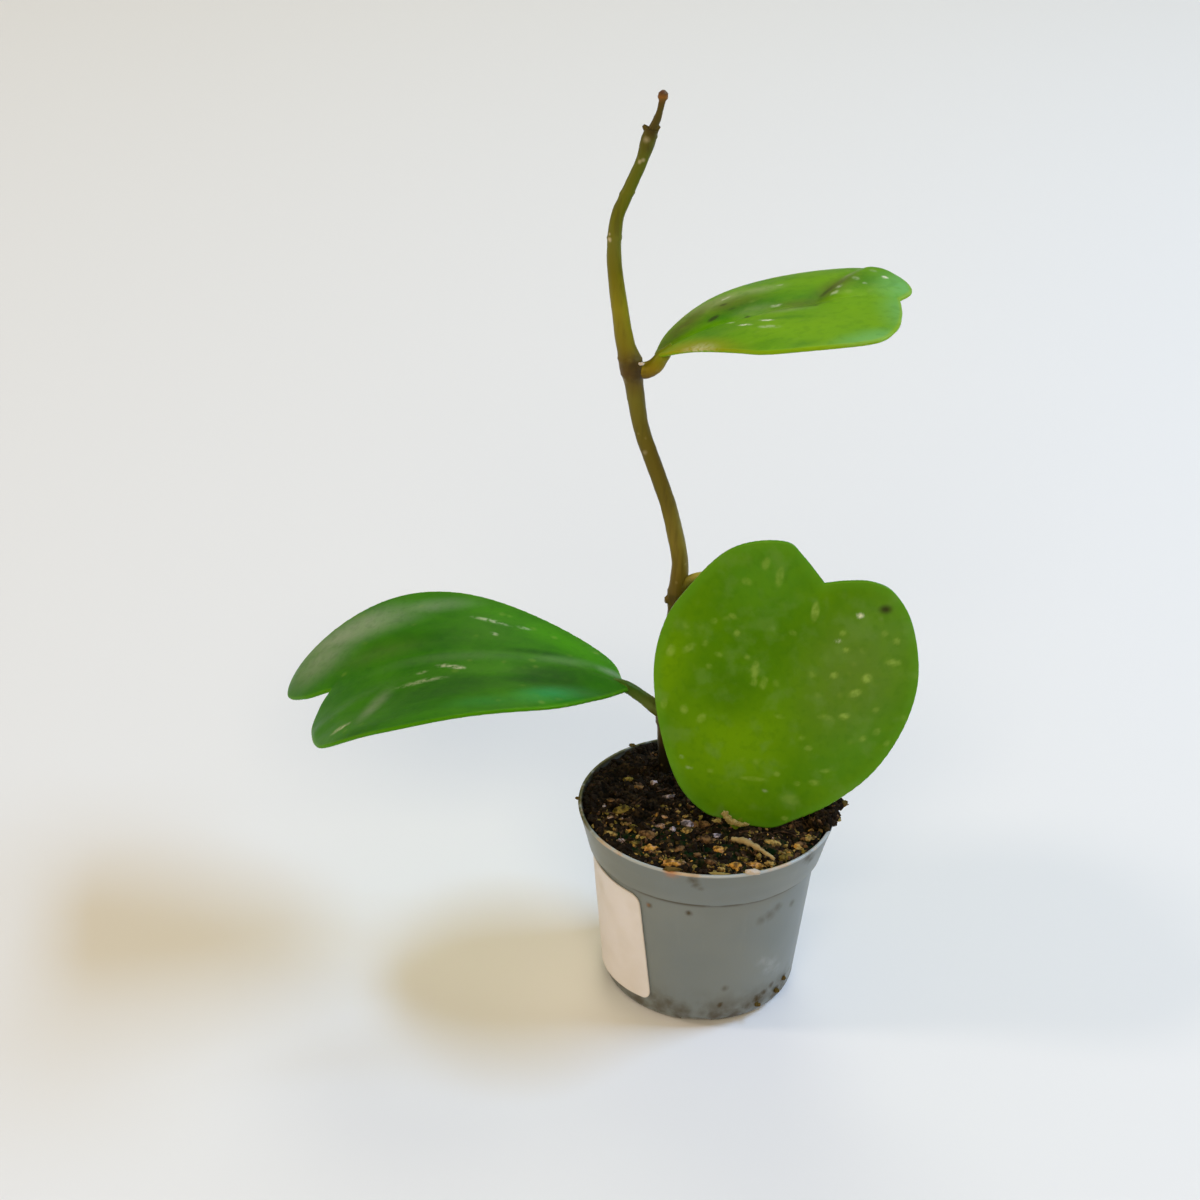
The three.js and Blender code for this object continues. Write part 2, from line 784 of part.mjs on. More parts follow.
/** Blade as one closed solid: a grid from edge to edge over both faces, closed at the notch. */
function bladeGeometry(leaf) {
  const surface = leafSurface(leaf);
  const rows = leaf.outlineA.length * BLADE.rowsPerPoint;
  const edges = [leaf.outlineA, leaf.outlineB]
    .map((outline) => outlineCurve([...outline, [leaf.notch, 0]], rows));
  const starts = [leaf.outlineA[0][0], leaf.outlineB[0][0]];
  const builder = new MeshBuilder();
  const spread = 2 * BLADE.cells;
  const faces = [1, -1].map((face) => {
    const at = (along, out, share) => {
      const { point, upward } = surface(along, out);
      return builder.vertex(point.addScaledVector(upward, face * halfThickness(share)));
    };
    const grid = [];
    for (let row = 0; row < rows; row += 1) {
      const line = [];
      for (let column = 0; column <= spread; column += 1) {
        const half = column <= BLADE.cells ? 0 : 1;
        const share = Math.abs(column - BLADE.cells) / BLADE.cells;
        const [edgeAlong, edgeOut] = edges[half][row];
        const rib = lerp((starts[0] + starts[1]) / 2, leaf.notch, row / rows);
        const out = edgeOut * share * (half === 0 ? 1 : -1);
        line.push(at(lerp(rib, edgeAlong, share), out, share));
      }
      grid.push(line);
    }
    return { grid, tip: at(leaf.notch, 0, 1) };
  });
  const [upper, lower] = faces;
  for (let row = 0; row + 1 < rows; row += 1) {
    for (let column = 0; column < spread; column += 1) {
      const corners = (grid) => [
        grid[row][column],
        grid[row][column + 1],
        grid[row + 1][column + 1],
        grid[row + 1][column],
      ];
      const [a, b, c, d] = corners(upper.grid);
      const [e, f, g, h] = corners(lower.grid);
      builder.quad(a, b, c, d);
      builder.triangle(e, g, f);
      builder.triangle(e, h, g);
    }
    for (const column of [0, spread]) {
      const wall = [
        upper.grid[row][column], upper.grid[row + 1][column],
        lower.grid[row + 1][column], lower.grid[row][column],
      ];
      builder.quad(...(column === 0 ? wall : wall.reverse()));
    }
  }
  const end = rows - 1;
  for (let column = 0; column < spread; column += 1) {
    builder.quad(
      upper.grid[0][column + 1],
      upper.grid[0][column],
      lower.grid[0][column],
      lower.grid[0][column + 1],
    );
    builder.triangle(upper.grid[end][column], upper.grid[end][column + 1], upper.tip);
    builder.triangle(lower.grid[end][column + 1], lower.grid[end][column], lower.tip);
  }
  builder.quad(upper.grid[end][0], upper.tip, lower.tip, lower.grid[end][0]);
  builder.quad(lower.grid[end][spread], lower.tip, upper.tip, upper.grid[end][spread]);
  return builder.geometry();
}

/** Leaf of one blade grown together with its petiole, clear of the stem. */
function leafMesh(name, leaf, finish) {
  const petiole = toSolid(sweep({ ...PETIOLE, path: leaf.petiole }));
  const solid = toSolid(bladeGeometry(leaf)).add(petiole).subtract(stemSolid(GAP));
  return namedMesh(name, toGeometry(solid), finish);
}

const hoya = new THREE.Group();
hoya.add(
  potMesh(),
  labelMesh(),
  soilMesh(),
  rootsMesh(),
  stemMesh(),
  shootTipMesh(),
  sideShootMesh(),
  leafMesh('heart_leaf', HEART_LEAF, FINISH.heartLeaf),
  leafMesh('left_leaf', LEFT_LEAF, FINISH.leftLeaf),
  leafMesh('upper_leaf', UPPER_LEAF, FINISH.upperLeaf),
);

export default hoya;
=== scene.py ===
"""Sweetheart hoya in a small grey nursery pot: its finished surfaces, its studio and its camera.

Sizes and places in the classes are millimetres in the part's own frame: +Z up, -Y towards the
viewer, and the origin in the middle of the pot's underside. Meshes are made in metres, and the
scale of a material's noise is in features to a metre.
"""

import logging
import math
import random
from collections.abc import Sequence
from dataclasses import dataclass
from enum import Enum

import bpy
import numpy as np
from mathutils import Matrix, Vector, noise


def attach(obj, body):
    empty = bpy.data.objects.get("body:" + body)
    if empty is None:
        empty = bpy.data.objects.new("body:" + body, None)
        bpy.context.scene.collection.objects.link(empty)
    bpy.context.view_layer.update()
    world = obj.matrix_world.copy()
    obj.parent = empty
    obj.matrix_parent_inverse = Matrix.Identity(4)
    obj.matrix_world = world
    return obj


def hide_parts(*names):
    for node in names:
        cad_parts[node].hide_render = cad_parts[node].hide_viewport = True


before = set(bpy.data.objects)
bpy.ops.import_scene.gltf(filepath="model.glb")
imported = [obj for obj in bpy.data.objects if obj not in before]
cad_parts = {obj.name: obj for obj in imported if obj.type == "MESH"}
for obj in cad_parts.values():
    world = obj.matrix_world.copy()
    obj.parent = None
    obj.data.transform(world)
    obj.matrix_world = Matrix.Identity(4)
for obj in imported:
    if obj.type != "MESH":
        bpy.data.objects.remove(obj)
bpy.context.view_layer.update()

MM = 0.001

log = logging.getLogger("hoya")

Triple = tuple[float, float, float]
Pair = tuple[float, float]
Array = np.ndarray
Socket = bpy.types.NodeSocket
Material = bpy.types.Material
Piece = bpy.types.Object
# Points of a path: x, y, z and radius
Path = Sequence[tuple[float, ...]]
# Place and colour of each stop of a colour scale
Stops = Sequence[tuple[float, Triple]]
# Middle, radius and strength of each smear
Spots = tuple[tuple[Triple, float, float], ...]
# Middle and half sizes of each lump
Lumps = tuple[tuple[Triple, Triple], ...]

# Numbers that a mesh stores and its material reads
RIM = "rim"
UNDERSIDE = "underside"
RELIEF = "relief"
GRAIN = "grain"
CHART = "blade"

# Sockets of the node that mixes two colours
MIX_A, MIX_B, MIX_OUT = 6, 7, 2

# Random turns in radians, a little under a full one
TURN = 6.28

# Points on each side of a leaf's margin from which distances are measured
MARGIN_POINTS = 500

# How near doubled vertices lie, in metres: on a tube, and where a grid or a spun wall closes
TUBE_GAP, SEAM_GAP = 1e-6, 2e-6


def paint(red: int, green: int, blue: int) -> Triple:
    """Linear colour of a screen colour.

    Args:
        red: Red, 0 to 255.
        green: Green, 0 to 255.
        blue: Blue, 0 to 255.

    Returns:
        The three linear values.
    """
    return tuple(
        v / 12.92 if v <= 0.04045 else ((v + 0.055) / 1.055) ** 2.4
        for v in (red / 255, green / 255, blue / 255)
    )


def ramp(*rows: tuple[float, int, int, int]) -> Stops:
    """Stops of a colour scale from rows of place, red, green and blue."""
    return tuple((at, paint(*rgb)) for at, *rgb in rows)


def smooth(low: float, high: float, value: Array) -> Array:
    """Smooth step.

    Args:
        low: Where the step starts.
        high: Where it ends.
        value: The values to step.

    Returns:
        Numbers from 0 to 1.
    """
    t = np.clip((value - low) / (high - low), 0, 1)
    return t * t * (3 - 2 * t)


def roughness_at(points: Array, scale: float, octaves: int, seed: float) -> Array:
    """Fractal noise at points.

    Args:
        points: Points in millimetres, one to a row.
        scale: How many features fit in a millimetre.
        octaves: How many layers of ever finer noise.
        seed: An offset that makes it another pattern.

    Returns:
        One number to a point, about -1 to 1.
    """
    shift = Vector((seed, 2.7 * seed, -1.3 * seed))
    return np.array(
        [noise.fractal(Vector(p) * scale + shift, 1.0, 2.0, octaves) for p in points]
    )


class Tint(Enum):
    """Kinds of marking on a leaf, some of them painted light or shade. The value is the mesh attribute
    that holds it.
    """

    PALE = "pale_flecks"
    DARK = "dark_specks"
    # Whitish scars and painted glints
    CHALK = "chalky_scars"
    WARM = "yellowing"
    # Brighter yellow-green patches, some of them a painted glow
    LIME = "fresh_growth"
    # Deep green patches, partly painted shade
    SHADE = "deep_green"
    OLIVE = "dull_olive"
    # Painted bluish sheen
    TEAL = "blue_bloom"
    # Grey bloom and painted sheen
    GREY = "grey_bloom"


class Face(Enum):
    """Which face of a leaf looks up. The value is the sign of its thickness."""

    UPPER = 1.0
    LOWER = -1.0


class Shader:
    """A material under construction."""

    def __init__(self, name: str) -> None:
        """Starts a material with one principled surface.

        Args:
            name: The material's name.
        """
        self.material = bpy.data.materials.new(name)
        self.material.use_nodes = True
        self.tree = self.material.node_tree
        self.tree.nodes.clear()
        self.surface = self.node("ShaderNodeBsdfPrincipled")
        out = self.node("ShaderNodeOutputMaterial")
        self.tree.links.new(self.surface.outputs[0], out.inputs[0])
        self.place = self.node("ShaderNodeTexCoord").outputs["Object"]

    def node(self, kind: str, **settings: object) -> bpy.types.Node:
        """Adds a node.

        Args:
            kind: The node's type name.
            **settings: Its properties.

        Returns:
            The node.
        """
        made = self.tree.nodes.new(kind)
        for key, value in settings.items():
            setattr(made, key, value)
        return made

    def feed(self, socket: Socket, value: object) -> None:
        """Links or sets an input.

        Args:
            socket: The input.
            value: Another node's output, a number or a colour.
        """
        if isinstance(value, Socket):
            self.tree.links.new(value, socket)
        elif isinstance(value, tuple) and socket.type == "RGBA":
            socket.default_value = (*value, 1.0)
        else:
            socket.default_value = value

    def math(self, operation: str, a: object, b: object = 0.0, clamp: bool = False) -> Socket:
        """Sum, product or other operation on two numbers.

        Args:
            operation: The operation's name.
            a: First number.
            b: Second number.
            clamp: Whether the result is kept from 0 to 1.

        Returns:
            The result.
        """
        made = self.node("ShaderNodeMath", operation=operation, use_clamp=clamp)
        self.feed(made.inputs[0], a)
        self.feed(made.inputs[1], b)
        return made.outputs[0]

    def times(self, a: object, b: object) -> Socket:
        """Product of two numbers."""
        return self.math("MULTIPLY", a, b)

    def plus(self, a: object, b: object) -> Socket:
        """Sum of two numbers."""
        return self.math("ADD", a, b)

    def most(self, a: object, b: object) -> Socket:
        """The greater of two numbers."""
        return self.math("MAXIMUM", a, b)

    def without(self, value: object, whole: float = 1.0) -> Socket:
        """What a number leaves of a whole, at least 0."""
        return self.math("SUBTRACT", whole, value, clamp=True)

    def attribute(self, name: str) -> Socket:
        """A number stored on the mesh."""
        return self.node("ShaderNodeAttribute", attribute_name=name).outputs["Fac"]

    def stretched(self, scale: Triple, source: Socket | None = None) -> Socket:
        """Coordinates that are scaled along each axis.

        Args:
            scale: The scale along each axis.
            source: The coordinates, or none for the object's own.

        Returns:
            The scaled coordinates.
        """
        made = self.node("ShaderNodeMapping")
        made.inputs["Scale"].default_value = scale
        self.feed(made.inputs["Vector"], source or self.place)
        return made.outputs[0]

    def leaf_place(self, scale: Triple) -> Socket:
        """Coordinates along and across a leaf, scaled."""
        return self.stretched(scale, self.node("ShaderNodeUVMap", uv_map=CHART).outputs[0])

    def noise(self, scale: float, detail: float = 3.0, source: Socket | None = None) -> Socket:
        """Cloudy noise.

        Args:
            scale: Features to a metre.
            detail: Layers of finer noise.
            source: The coordinates, or none for the object's own.

        Returns:
            Numbers round 0.5.
        """
        made = self.node("ShaderNodeTexNoise")
        made.inputs["Scale"].default_value = scale
        made.inputs["Detail"].default_value = detail
        self.feed(made.inputs["Vector"], source or self.place)
        return made.outputs["Fac"]

    def grains(self, scale: float) -> Socket:
        """Distance from the middle of scattered cells.

        Args:
            scale: Cells to a metre.

        Returns:
            The distance, 0 in a cell's middle.
        """
        made = self.node("ShaderNodeTexVoronoi")
        made.inputs["Scale"].default_value = scale
        self.feed(made.inputs["Vector"], self.place)
        return made.outputs["Distance"]

    def step(self, value: object, low: float, high: float, top: float = 1.0) -> Socket:
        """Maps a range of a number smoothly to 0 and a highest value.

        Args:
            value: The number.
            low: What becomes 0.
            high: What becomes the highest value.
            top: The highest value.

        Returns:
            The mapped number.
        """
        made = self.node("ShaderNodeMapRange", interpolation_type="SMOOTHSTEP")
        self.feed(made.inputs["Value"], value)
        made.inputs["From Min"].default_value = low
        made.inputs["From Max"].default_value = high
        made.inputs["To Max"].default_value = top
        return made.outputs[0]

    def cloud(self, scale: float, detail: float, low: float, high: float, top: float = 1.0) -> Socket:
        """Patches of noise, of a scale and detail, whose range goes from 0 to a highest value."""
        return self.step(self.noise(scale, detail), low, high, top)

    def mix(self, share: object, a: object, b: object) -> Socket:
        """Blend of two colours.

        Args:
            share: 0 for the first colour, 1 for the second.
            a: First colour.
            b: Second colour.

        Returns:
            The blend.
        """
        made = self.node("ShaderNodeMix", data_type="RGBA")
        self.feed(made.inputs[0], share)
        self.feed(made.inputs[MIX_A], a)
        self.feed(made.inputs[MIX_B], b)
        return made.outputs[MIX_OUT]

    def bands(self, value: object, stops: Stops) -> Socket:
        """Colours along a number.

        Args:
            value: The number.
            stops: Place and colour of each stop.

        Returns:
            The colour.
        """
        made = self.node("ShaderNodeValToRGB")
        ramp = made.color_ramp
        while len(ramp.elements) < len(stops):
            ramp.elements.new(0.5)
        for element, (at, colour) in zip(ramp.elements, stops):
            element.position = at
            element.color = (*colour, 1.0)
        self.feed(made.inputs[0], value)
        return made.outputs[0]

    def axis(self, number: int) -> Socket:
        """One of the object's own coordinates in metres.

        Args:
            number: 0 for X, 1 for Y and 2 for Z.

        Returns:
            The coordinate.
        """
        split = self.node("ShaderNodeSeparateXYZ")
        self.feed(split.inputs[0], self.place)
        return split.outputs[number]

    def height(self) -> Socket:
        """Height above the ground in metres."""
        return self.axis(2)

    def above(self, low: float, high: float) -> Socket:
        """Steps from 0 at one height to 1 at another, in millimetres."""
        return self.step(self.height(), low * MM, high * MM)

    def spot(self, at: Triple, radius: float) -> Socket:
        """A ragged smear round a point, strongest in its middle.

        Args:
            at: The point in millimetres.
            radius: The smear's radius in millimetres.

        Returns:
            1 in the smear's middle and 0 outside.
        """
        made = self.node("ShaderNodeVectorMath", operation="DISTANCE")
        self.feed(made.inputs[0], self.place)
        made.inputs[1].default_value = [v * MM for v in at]
        far = self.plus(made.outputs["Value"], self.times(self.noise(900, 4), radius * MM))
        edge = radius * MM * 1.5
        return self.without(self.step(far, 0.3 * edge, 1.25 * edge))

    def smear(self, colour: Socket, spots: Spots, tint: Triple) -> Socket:
        """Colours some smears.

        Args:
            colour: The colour below them.
            spots: The smears, in millimetres.
            tint: Their own colour.

        Returns:
            The colour with the smears on it.
        """
        for at, radius, strength in spots:
            colour = self.mix(self.times(self.spot(at, radius), strength), colour, tint)
        return colour

    def dent(self, height: Socket, strength: float, depth: float) -> None:
        """Fine relief.

        Args:
            height: The relief's height from 0 to 1.
            strength: How strong it is.
            depth: Its depth in millimetres.
        """
        made = self.node("ShaderNodeBump")
        made.inputs["Strength"].default_value = strength
        made.inputs["Distance"].default_value = depth * MM
        self.feed(made.inputs["Height"], height)
        self.tree.links.new(made.outputs[0], self.surface.inputs["Normal"])

    def set(self, **values: object) -> Material:
        """Sets the surface's inputs.

        Args:
            **values: Input names, with an underscore for each space, and their values.

        Returns:
            The finished material.
        """
        for name, value in values.items():
            self.feed(self.surface.inputs[name.replace("_", " ")], value)
        return self.material


@dataclass(frozen=True)
class LeafFinish:
    """Waxy leaf skin with its growth colours, bloom, flecks and scars, and painted glow, sheen, glints,
    rim highlights and shade.
    """

    name: str
    deep: Triple
    fresh: Triple
    # Yellow-green of the bright patches and of the painted glow
    lime: Triple
    # Colour of the painted bluish sheen
    teal_sheen: Triple
    # Grey of the bloom and of the painted sheen
    grey: Triple
    under: Triple
    # Colour of the painted highlight along the margin
    rim: Triple
    # Deep green of the mottling and of the painted shade
    shade: Triple
    olive: Triple
    rough: float = 0.38
    gloss: float = 0.2
    streaky: float = 0.3
    veil: float = 0.0
    mottle: float = 0.14
    rim_width: float = 1.0
    fleck: Triple = paint(142, 170, 74)
    speck: Triple = paint(38, 40, 22)
    # Whitish colour of the scars and of the painted glints
    chalk: Triple = paint(214, 220, 190)
    warm: Triple = paint(156, 146, 26)

    def material(self) -> Material:
        """The skin's material.

        Returns:
            The material.
        """
        s = Shader(self.name)
        colour = s.mix(s.cloud(75, 4, 0.32, 0.68), self.deep, self.fresh)
        streaks = s.noise(1, 4, s.leaf_place((7, 55, 1)))
        colour = s.mix(s.step(streaks, 0.45, 0.75, self.streaky), colour, self.fresh)
        # Patches from the marks: the leaf's own colours, with painted glow, shade and sheen
        washes = {
            Tint.LIME: self.lime,
            Tint.SHADE: self.shade,
            Tint.TEAL: self.teal_sheen,
            Tint.GREY: self.grey,
            Tint.OLIVE: self.olive,
        }
        for tint, wash in washes.items():
            colour = s.mix(s.attribute(tint.value), colour, wash)
        colour = s.mix(s.cloud(330, 4, 0.35, 0.7, 0.16), colour, self.lime)
        colour = s.mix(s.cloud(520, 4, 0.5, 0.66, self.mottle), colour, self.shade)
        # Painted rim highlight: a lighter band along the margin
        rim = s.without(s.step(s.attribute(RIM), 0.1, self.rim_width))
        colour = s.mix(s.times(rim, 0.5), colour, self.rim)
        colour = s.mix(s.attribute(Tint.WARM.value), colour, self.warm)
        colour = s.mix(s.cloud(190, 4, 0.5, 0.72, self.veil), colour, self.grey)
        stipple = s.noise(1400, 2)
        colour = s.mix(s.step(stipple, 0.35, 0.7, 0.1), colour, self.fresh)
        dots = s.times(s.step(s.grains(230), 0.3, 0.08, 0.3), s.cloud(120, 3, 0.48, 0.68))
        colour = s.mix(dots, colour, self.fleck)
        ragged = s.plus(s.cloud(700, 3, 0.35, 0.6, 0.5), 0.4)
        pale = s.math("MULTIPLY", s.attribute(Tint.PALE.value), ragged, clamp=True)
        colour = s.mix(pale, colour, self.fleck)
        colour = s.mix(s.attribute(Tint.DARK.value), colour, self.speck)
        # Whitish scars and painted glints
        chalk = s.times(s.attribute(Tint.CHALK.value), s.cloud(900, 3, 0.3, 0.6))
        colour = s.mix(chalk, colour, self.chalk)
        colour = s.mix(s.attribute(UNDERSIDE), colour, self.under)
        s.dent(s.plus(s.noise(700, 3), s.times(stipple, 0.4)), 0.22, 0.12)
        rough = s.plus(s.times(s.noise(260), 0.12), self.rough - 0.06)
        return s.set(
            Base_Color=colour,
            Roughness=rough,
            Specular_IOR_Level=self.gloss,
            Specular_Tint=(1.0, 1.0, 0.2),
            Subsurface_Weight=0.05,
            Subsurface_Radius=(0.4, 1.0, 0.15),
            Subsurface_Scale=0.0012,
        )


@dataclass(frozen=True)
class PlasticFinish:
    """Grey moulded plastic with dust, splashes and dried mud, a painted highlight on the lip, painted
    sheen on its right side and painted shade in the groove below the collar.
    """

    body: Triple = paint(104, 111, 108)
    dusty: Triple = paint(124, 127, 117)
    mud: Triple = paint(70, 56, 32)
    rust: Triple = paint(170, 104, 40)
    # Lighter bluish grey of dust and of painted sheen on the right side
    dust_and_sheen: Triple = paint(164, 170, 172)
    algae: Triple = paint(82, 80, 34)
    # Colour of the painted highlight along the rounded lip
    highlit_crest: Triple = paint(172, 177, 176)
    sand: Triple = paint(186, 150, 104)
    soot: Triple = paint(24, 19, 11)
    rim: float = 30.0
    top: float = 48.3
    taper: float = 0.2626
    mud_spots: Spots = (
        ((-3.7, -29.4, 46.7), 1.5, 0.6), ((-3.0, -29.4, 45.0), 1.2, 0.6),
        ((-1.8, -29.2, 44.0), 1.0, 0.4), ((-4.0, -25.5, 34.9), 0.9, 0.95),
        ((-13.0, -22.2, 34.5), 0.9, 0.7), ((14.8, -20.7, 31.7), 1.8, 0.4),
        ((12.8, -21.9, 31.0), 1.5, 0.35), ((16.5, -19.6, 33.0), 1.5, 0.4),
        ((20.2, -15.6, 31.6), 1.1, 0.4), ((22.8, -19.3, 46.9), 1.9, 0.6),
        ((23.6, -17.6, 45.2), 1.5, 0.5), ((13.4, -18.5, 5.9), 2.2, 1.0),
        ((11.2, -19.8, 5.0), 1.8, 0.7), ((15.0, -17.6, 7.2), 1.6, 0.8),
        ((4.6, -22.5, 6.9), 1.2, 0.95), ((16.7, -16.0, 8.2), 1.3, 0.7),
        ((19.8, -11.9, 7.5), 1.3, 1.0), ((-7.5, -21.7, 6.4), 2.4, 0.6),
        ((-4.0, -22.5, 5.7), 2.0, 0.5), ((-11.1, -20.2, 7.1), 2.0, 0.45),
        ((5.4, -22.9, 12.0), 1.0, 0.5), ((0.5, -22.9, 4.5), 1.6, 0.4),
        ((18.2, -14.0, 5.6), 1.6, 0.9), ((8.4, -21.2, 3.6), 1.8, 0.7),
    )
    rust_spots: Spots = (
        ((-8.6, -28.4, 48.2), 1.9, 0.75), ((-13.2, -22.0, 34.5), 0.6, 0.35),
    )
    # Lighter patches on the front right: dust and painted sheen
    dust_and_sheen_spots: Spots = (
        ((16.0, -17.7, 15.3), 2.6, 0.45), ((18.0, -15.6, 13.0), 1.8, 0.35),
        ((13.6, -19.6, 18.0), 1.8, 0.25),
    )

    def dirt(self, s: Shader) -> Socket:
        """Mud on the foot, in the groove below the collar with painted shade there, on the lip and in
        splashes.

        Args:
            s: The material.

        Returns:
            The strength of the mud and of the painted groove shade.
        """
        foot = s.times(s.without(s.above(2, 13)), s.cloud(240, 5, 0.3, 0.68, 0.75))
        # Mud in the groove below the collar, which also paints the shade under it
        groove_mud_and_shade = s.times(s.above(36.6, 37.8), s.above(38.8, 38.3))
        groove_mud_and_shade = s.times(groove_mud_and_shade, s.cloud(110, 4, 0.35, 0.6, 0.85))
        lip = s.times(s.above(47.3, 48.2), s.cloud(260, 4, 0.58, 0.7, 0.6))
        dirt = s.most(s.most(foot, groove_mud_and_shade), lip)
        for at, radius, share in self.mud_spots:
            dirt = s.most(dirt, s.times(s.spot(at, radius), share))
        return dirt

    def inner(self, s: Shader) -> Socket:
        """Dark soil on the inner side of the collar.

        Args:
            s: The material.

        Returns:
            The soil's strength.
        """
        out = s.node("ShaderNodeVectorMath", operation="LENGTH")
        s.feed(out.inputs[0], s.stretched((1, 1, 0)))
        slant = s.times(s.math("SUBTRACT", s.height(), self.top * MM), self.taper)
        depth = s.math("SUBTRACT", s.plus(slant, self.rim * MM), out.outputs["Value"])
        inner = s.times(s.step(depth, 0.55 * MM, 0.8 * MM), s.above(39, 41))
        return s.times(inner, s.cloud(300, 4, 0.2, 0.42, 0.97))

    def material(self) -> Material:
        """The plastic's material.

        Returns:
            The material.
        """
        s = Shader("grey_pot_plastic")
        dirt, inner = self.dirt(s), self.inner(s)
        away = s.math("SUBTRACT", s.axis(1), s.axis(0))
        old = s.times(s.step(away, 4 * MM, 22 * MM), s.above(47.4, 47.9))
        old = s.times(old, s.cloud(420, 4, 0.25, 0.5, 0.9))
        colour = s.mix(s.cloud(55, 4, 0.35, 0.7, 0.3), self.body, self.dusty)
        drips = s.noise(1, 4, s.stretched((420, 420, 45)))
        colour = s.mix(s.step(drips, 0.6, 0.78, 0.2), colour, self.dusty)
        # Painted highlight along the top of the lip, with sand on it
        highlit_crest = s.above(47.55, 48)
        colour = s.mix(s.times(highlit_crest, 0.75), colour, self.highlit_crest)
        colour = s.mix(s.times(highlit_crest, s.cloud(130, 3, 0.48, 0.6, 0.7)), colour, self.sand)
        # Dust and painted sheen on the right side
        for at, radius, share in self.dust_and_sheen_spots:
            cloud = s.times(s.spot(at, radius), s.cloud(420, 4, 0.3, 0.7, share))
            colour = s.mix(cloud, colour, self.dust_and_sheen)
        colour = s.mix(dirt, colour, self.mud)
        colour = s.smear(colour, self.rust_spots, self.rust)
        colour = s.mix(old, colour, self.algae)
        colour = s.mix(s.times(inner, 0.8), colour, self.soot)
        s.dent(s.noise(1600, 2), 0.15, 0.08)
        dull = s.most(dirt, s.most(old, inner))
        rough = s.plus(s.times(s.noise(90, 3), 0.16), 0.3)
        rough = s.math("ADD", rough, s.times(dull, 0.4), clamp=True)
        shine = s.without(s.times(dull, 0.6), 0.68)
        return s.set(Base_Color=colour, Roughness=rough, Specular_IOR_Level=shine)


@dataclass(frozen=True)
class PaperFinish:
    """Blank pale sticker paper, a little soiled along its edges."""

    paper: Triple = paint(220, 213, 209)
    soiled: Triple = paint(202, 192, 178)
    stains: Spots = (((-23.6, -9.5, 30.5), 2.6, 0.5),)

    def material(self) -> Material:
        """The paper's material.

        Returns:
            The material.
        """
        s = Shader("blank_sticker_paper")
        colour = s.mix(s.cloud(95, 5, 0.42, 0.75, 0.4), self.paper, self.soiled)
        colour = s.smear(colour, self.stains, self.soiled)
        edge = s.without(s.step(s.attribute(RIM), 0.0, 0.8))
        colour = s.mix(s.times(edge, 0.45), colour, self.soiled)
        s.dent(s.noise(1, 4, s.stretched((900, 900, 260))), 0.2, 0.05)
        return s.set(Base_Color=colour, Roughness=0.62, Specular_IOR_Level=0.3)


@dataclass(frozen=True)
class EarthFinish:
    """Peat, bark, grit or root, mottled between two colours."""

    name: str
    dark: Triple
    light: Triple
    share: float = 0.6
    scale: float = 900.0
    rough: float = 0.9

    def material(self) -> Material:
        """The crumb's material.

        Returns:
            The material.
        """
        s = Shader(self.name)
        fine = s.noise(self.scale, 5)
        broad = s.cloud(self.scale * 0.3, 3, 0.3, 0.7, self.share)
        blend = s.times(s.step(fine, 0.4, 0.72), broad)
        s.dent(fine, 0.6, 0.3)
        return s.set(
            Base_Color=s.mix(blend, self.dark, self.light),
            Roughness=self.rough,
            Specular_IOR_Level=0.25,
        )


@dataclass(frozen=True)
class PeatFinish:
    """Damp peat: painted shade keeps its hollows near black, its raised clods are browner, and it is
    greenish towards the front.
    """

    name: str = "dark_peat"
    # Painted shade in the hollows
    hollow_shade: Triple = paint(7, 5, 2)
    clod: Triple = paint(58, 44, 26)
    moss: Triple = paint(7, 30, 8)

    def material(self) -> Material:
        """The peat's material.

        Returns:
            The material.
        """
        s = Shader(self.name)
        fine = s.noise(800, 5)
        front = s.times(s.step(s.axis(1), -4 * MM, -16 * MM), s.cloud(150, 3, 0.35, 0.6))
        low = s.mix(front, self.hollow_shade, self.moss)
        # Painted shade: the hollows stay near black and the raised relief takes the clods' brown
        clods = s.times(s.attribute(RELIEF), s.step(fine, 0.38, 0.66))
        s.dent(s.plus(fine, s.noise(2400, 3)), 0.7, 0.3)
        return s.set(
            Base_Color=s.mix(clods, low, self.clod),
            Roughness=0.95,
            Specular_IOR_Level=0.06,
        )


@dataclass(frozen=True)
class GrainFinish:
    """Crumbs of a peat mix, each one's colour taken from a scale by its own number."""

    name: str = "mixed_soil_crumbs"
    shade: Triple = paint(22, 16, 10)
    scale: Stops = ramp(
        (0.0, 10, 8, 4), (0.25, 40, 30, 19), (0.4, 76, 56, 40), (0.55, 118, 88, 56),
        (0.66, 112, 98, 36), (0.78, 168, 142, 82), (0.88, 200, 146, 62), (0.95, 176, 146, 128),
        (1.0, 176, 168, 182),
    )

    def material(self) -> Material:
        """The crumbs' material.

        Returns:
            The material.
        """
        s = Shader(self.name)
        fine = s.noise(900, 5)
        wander = s.times(s.math("SUBTRACT", s.noise(700, 4), 0.5), 0.26)
        colour = s.bands(s.plus(s.attribute(GRAIN), wander), self.scale)
        colour = s.mix(s.step(fine, 0.6, 0.38, 0.8), colour, self.shade)
        s.dent(s.plus(fine, s.noise(2200, 3)), 0.8, 0.35)
        return s.set(Base_Color=colour, Roughness=0.9, Specular_IOR_Level=0.08)


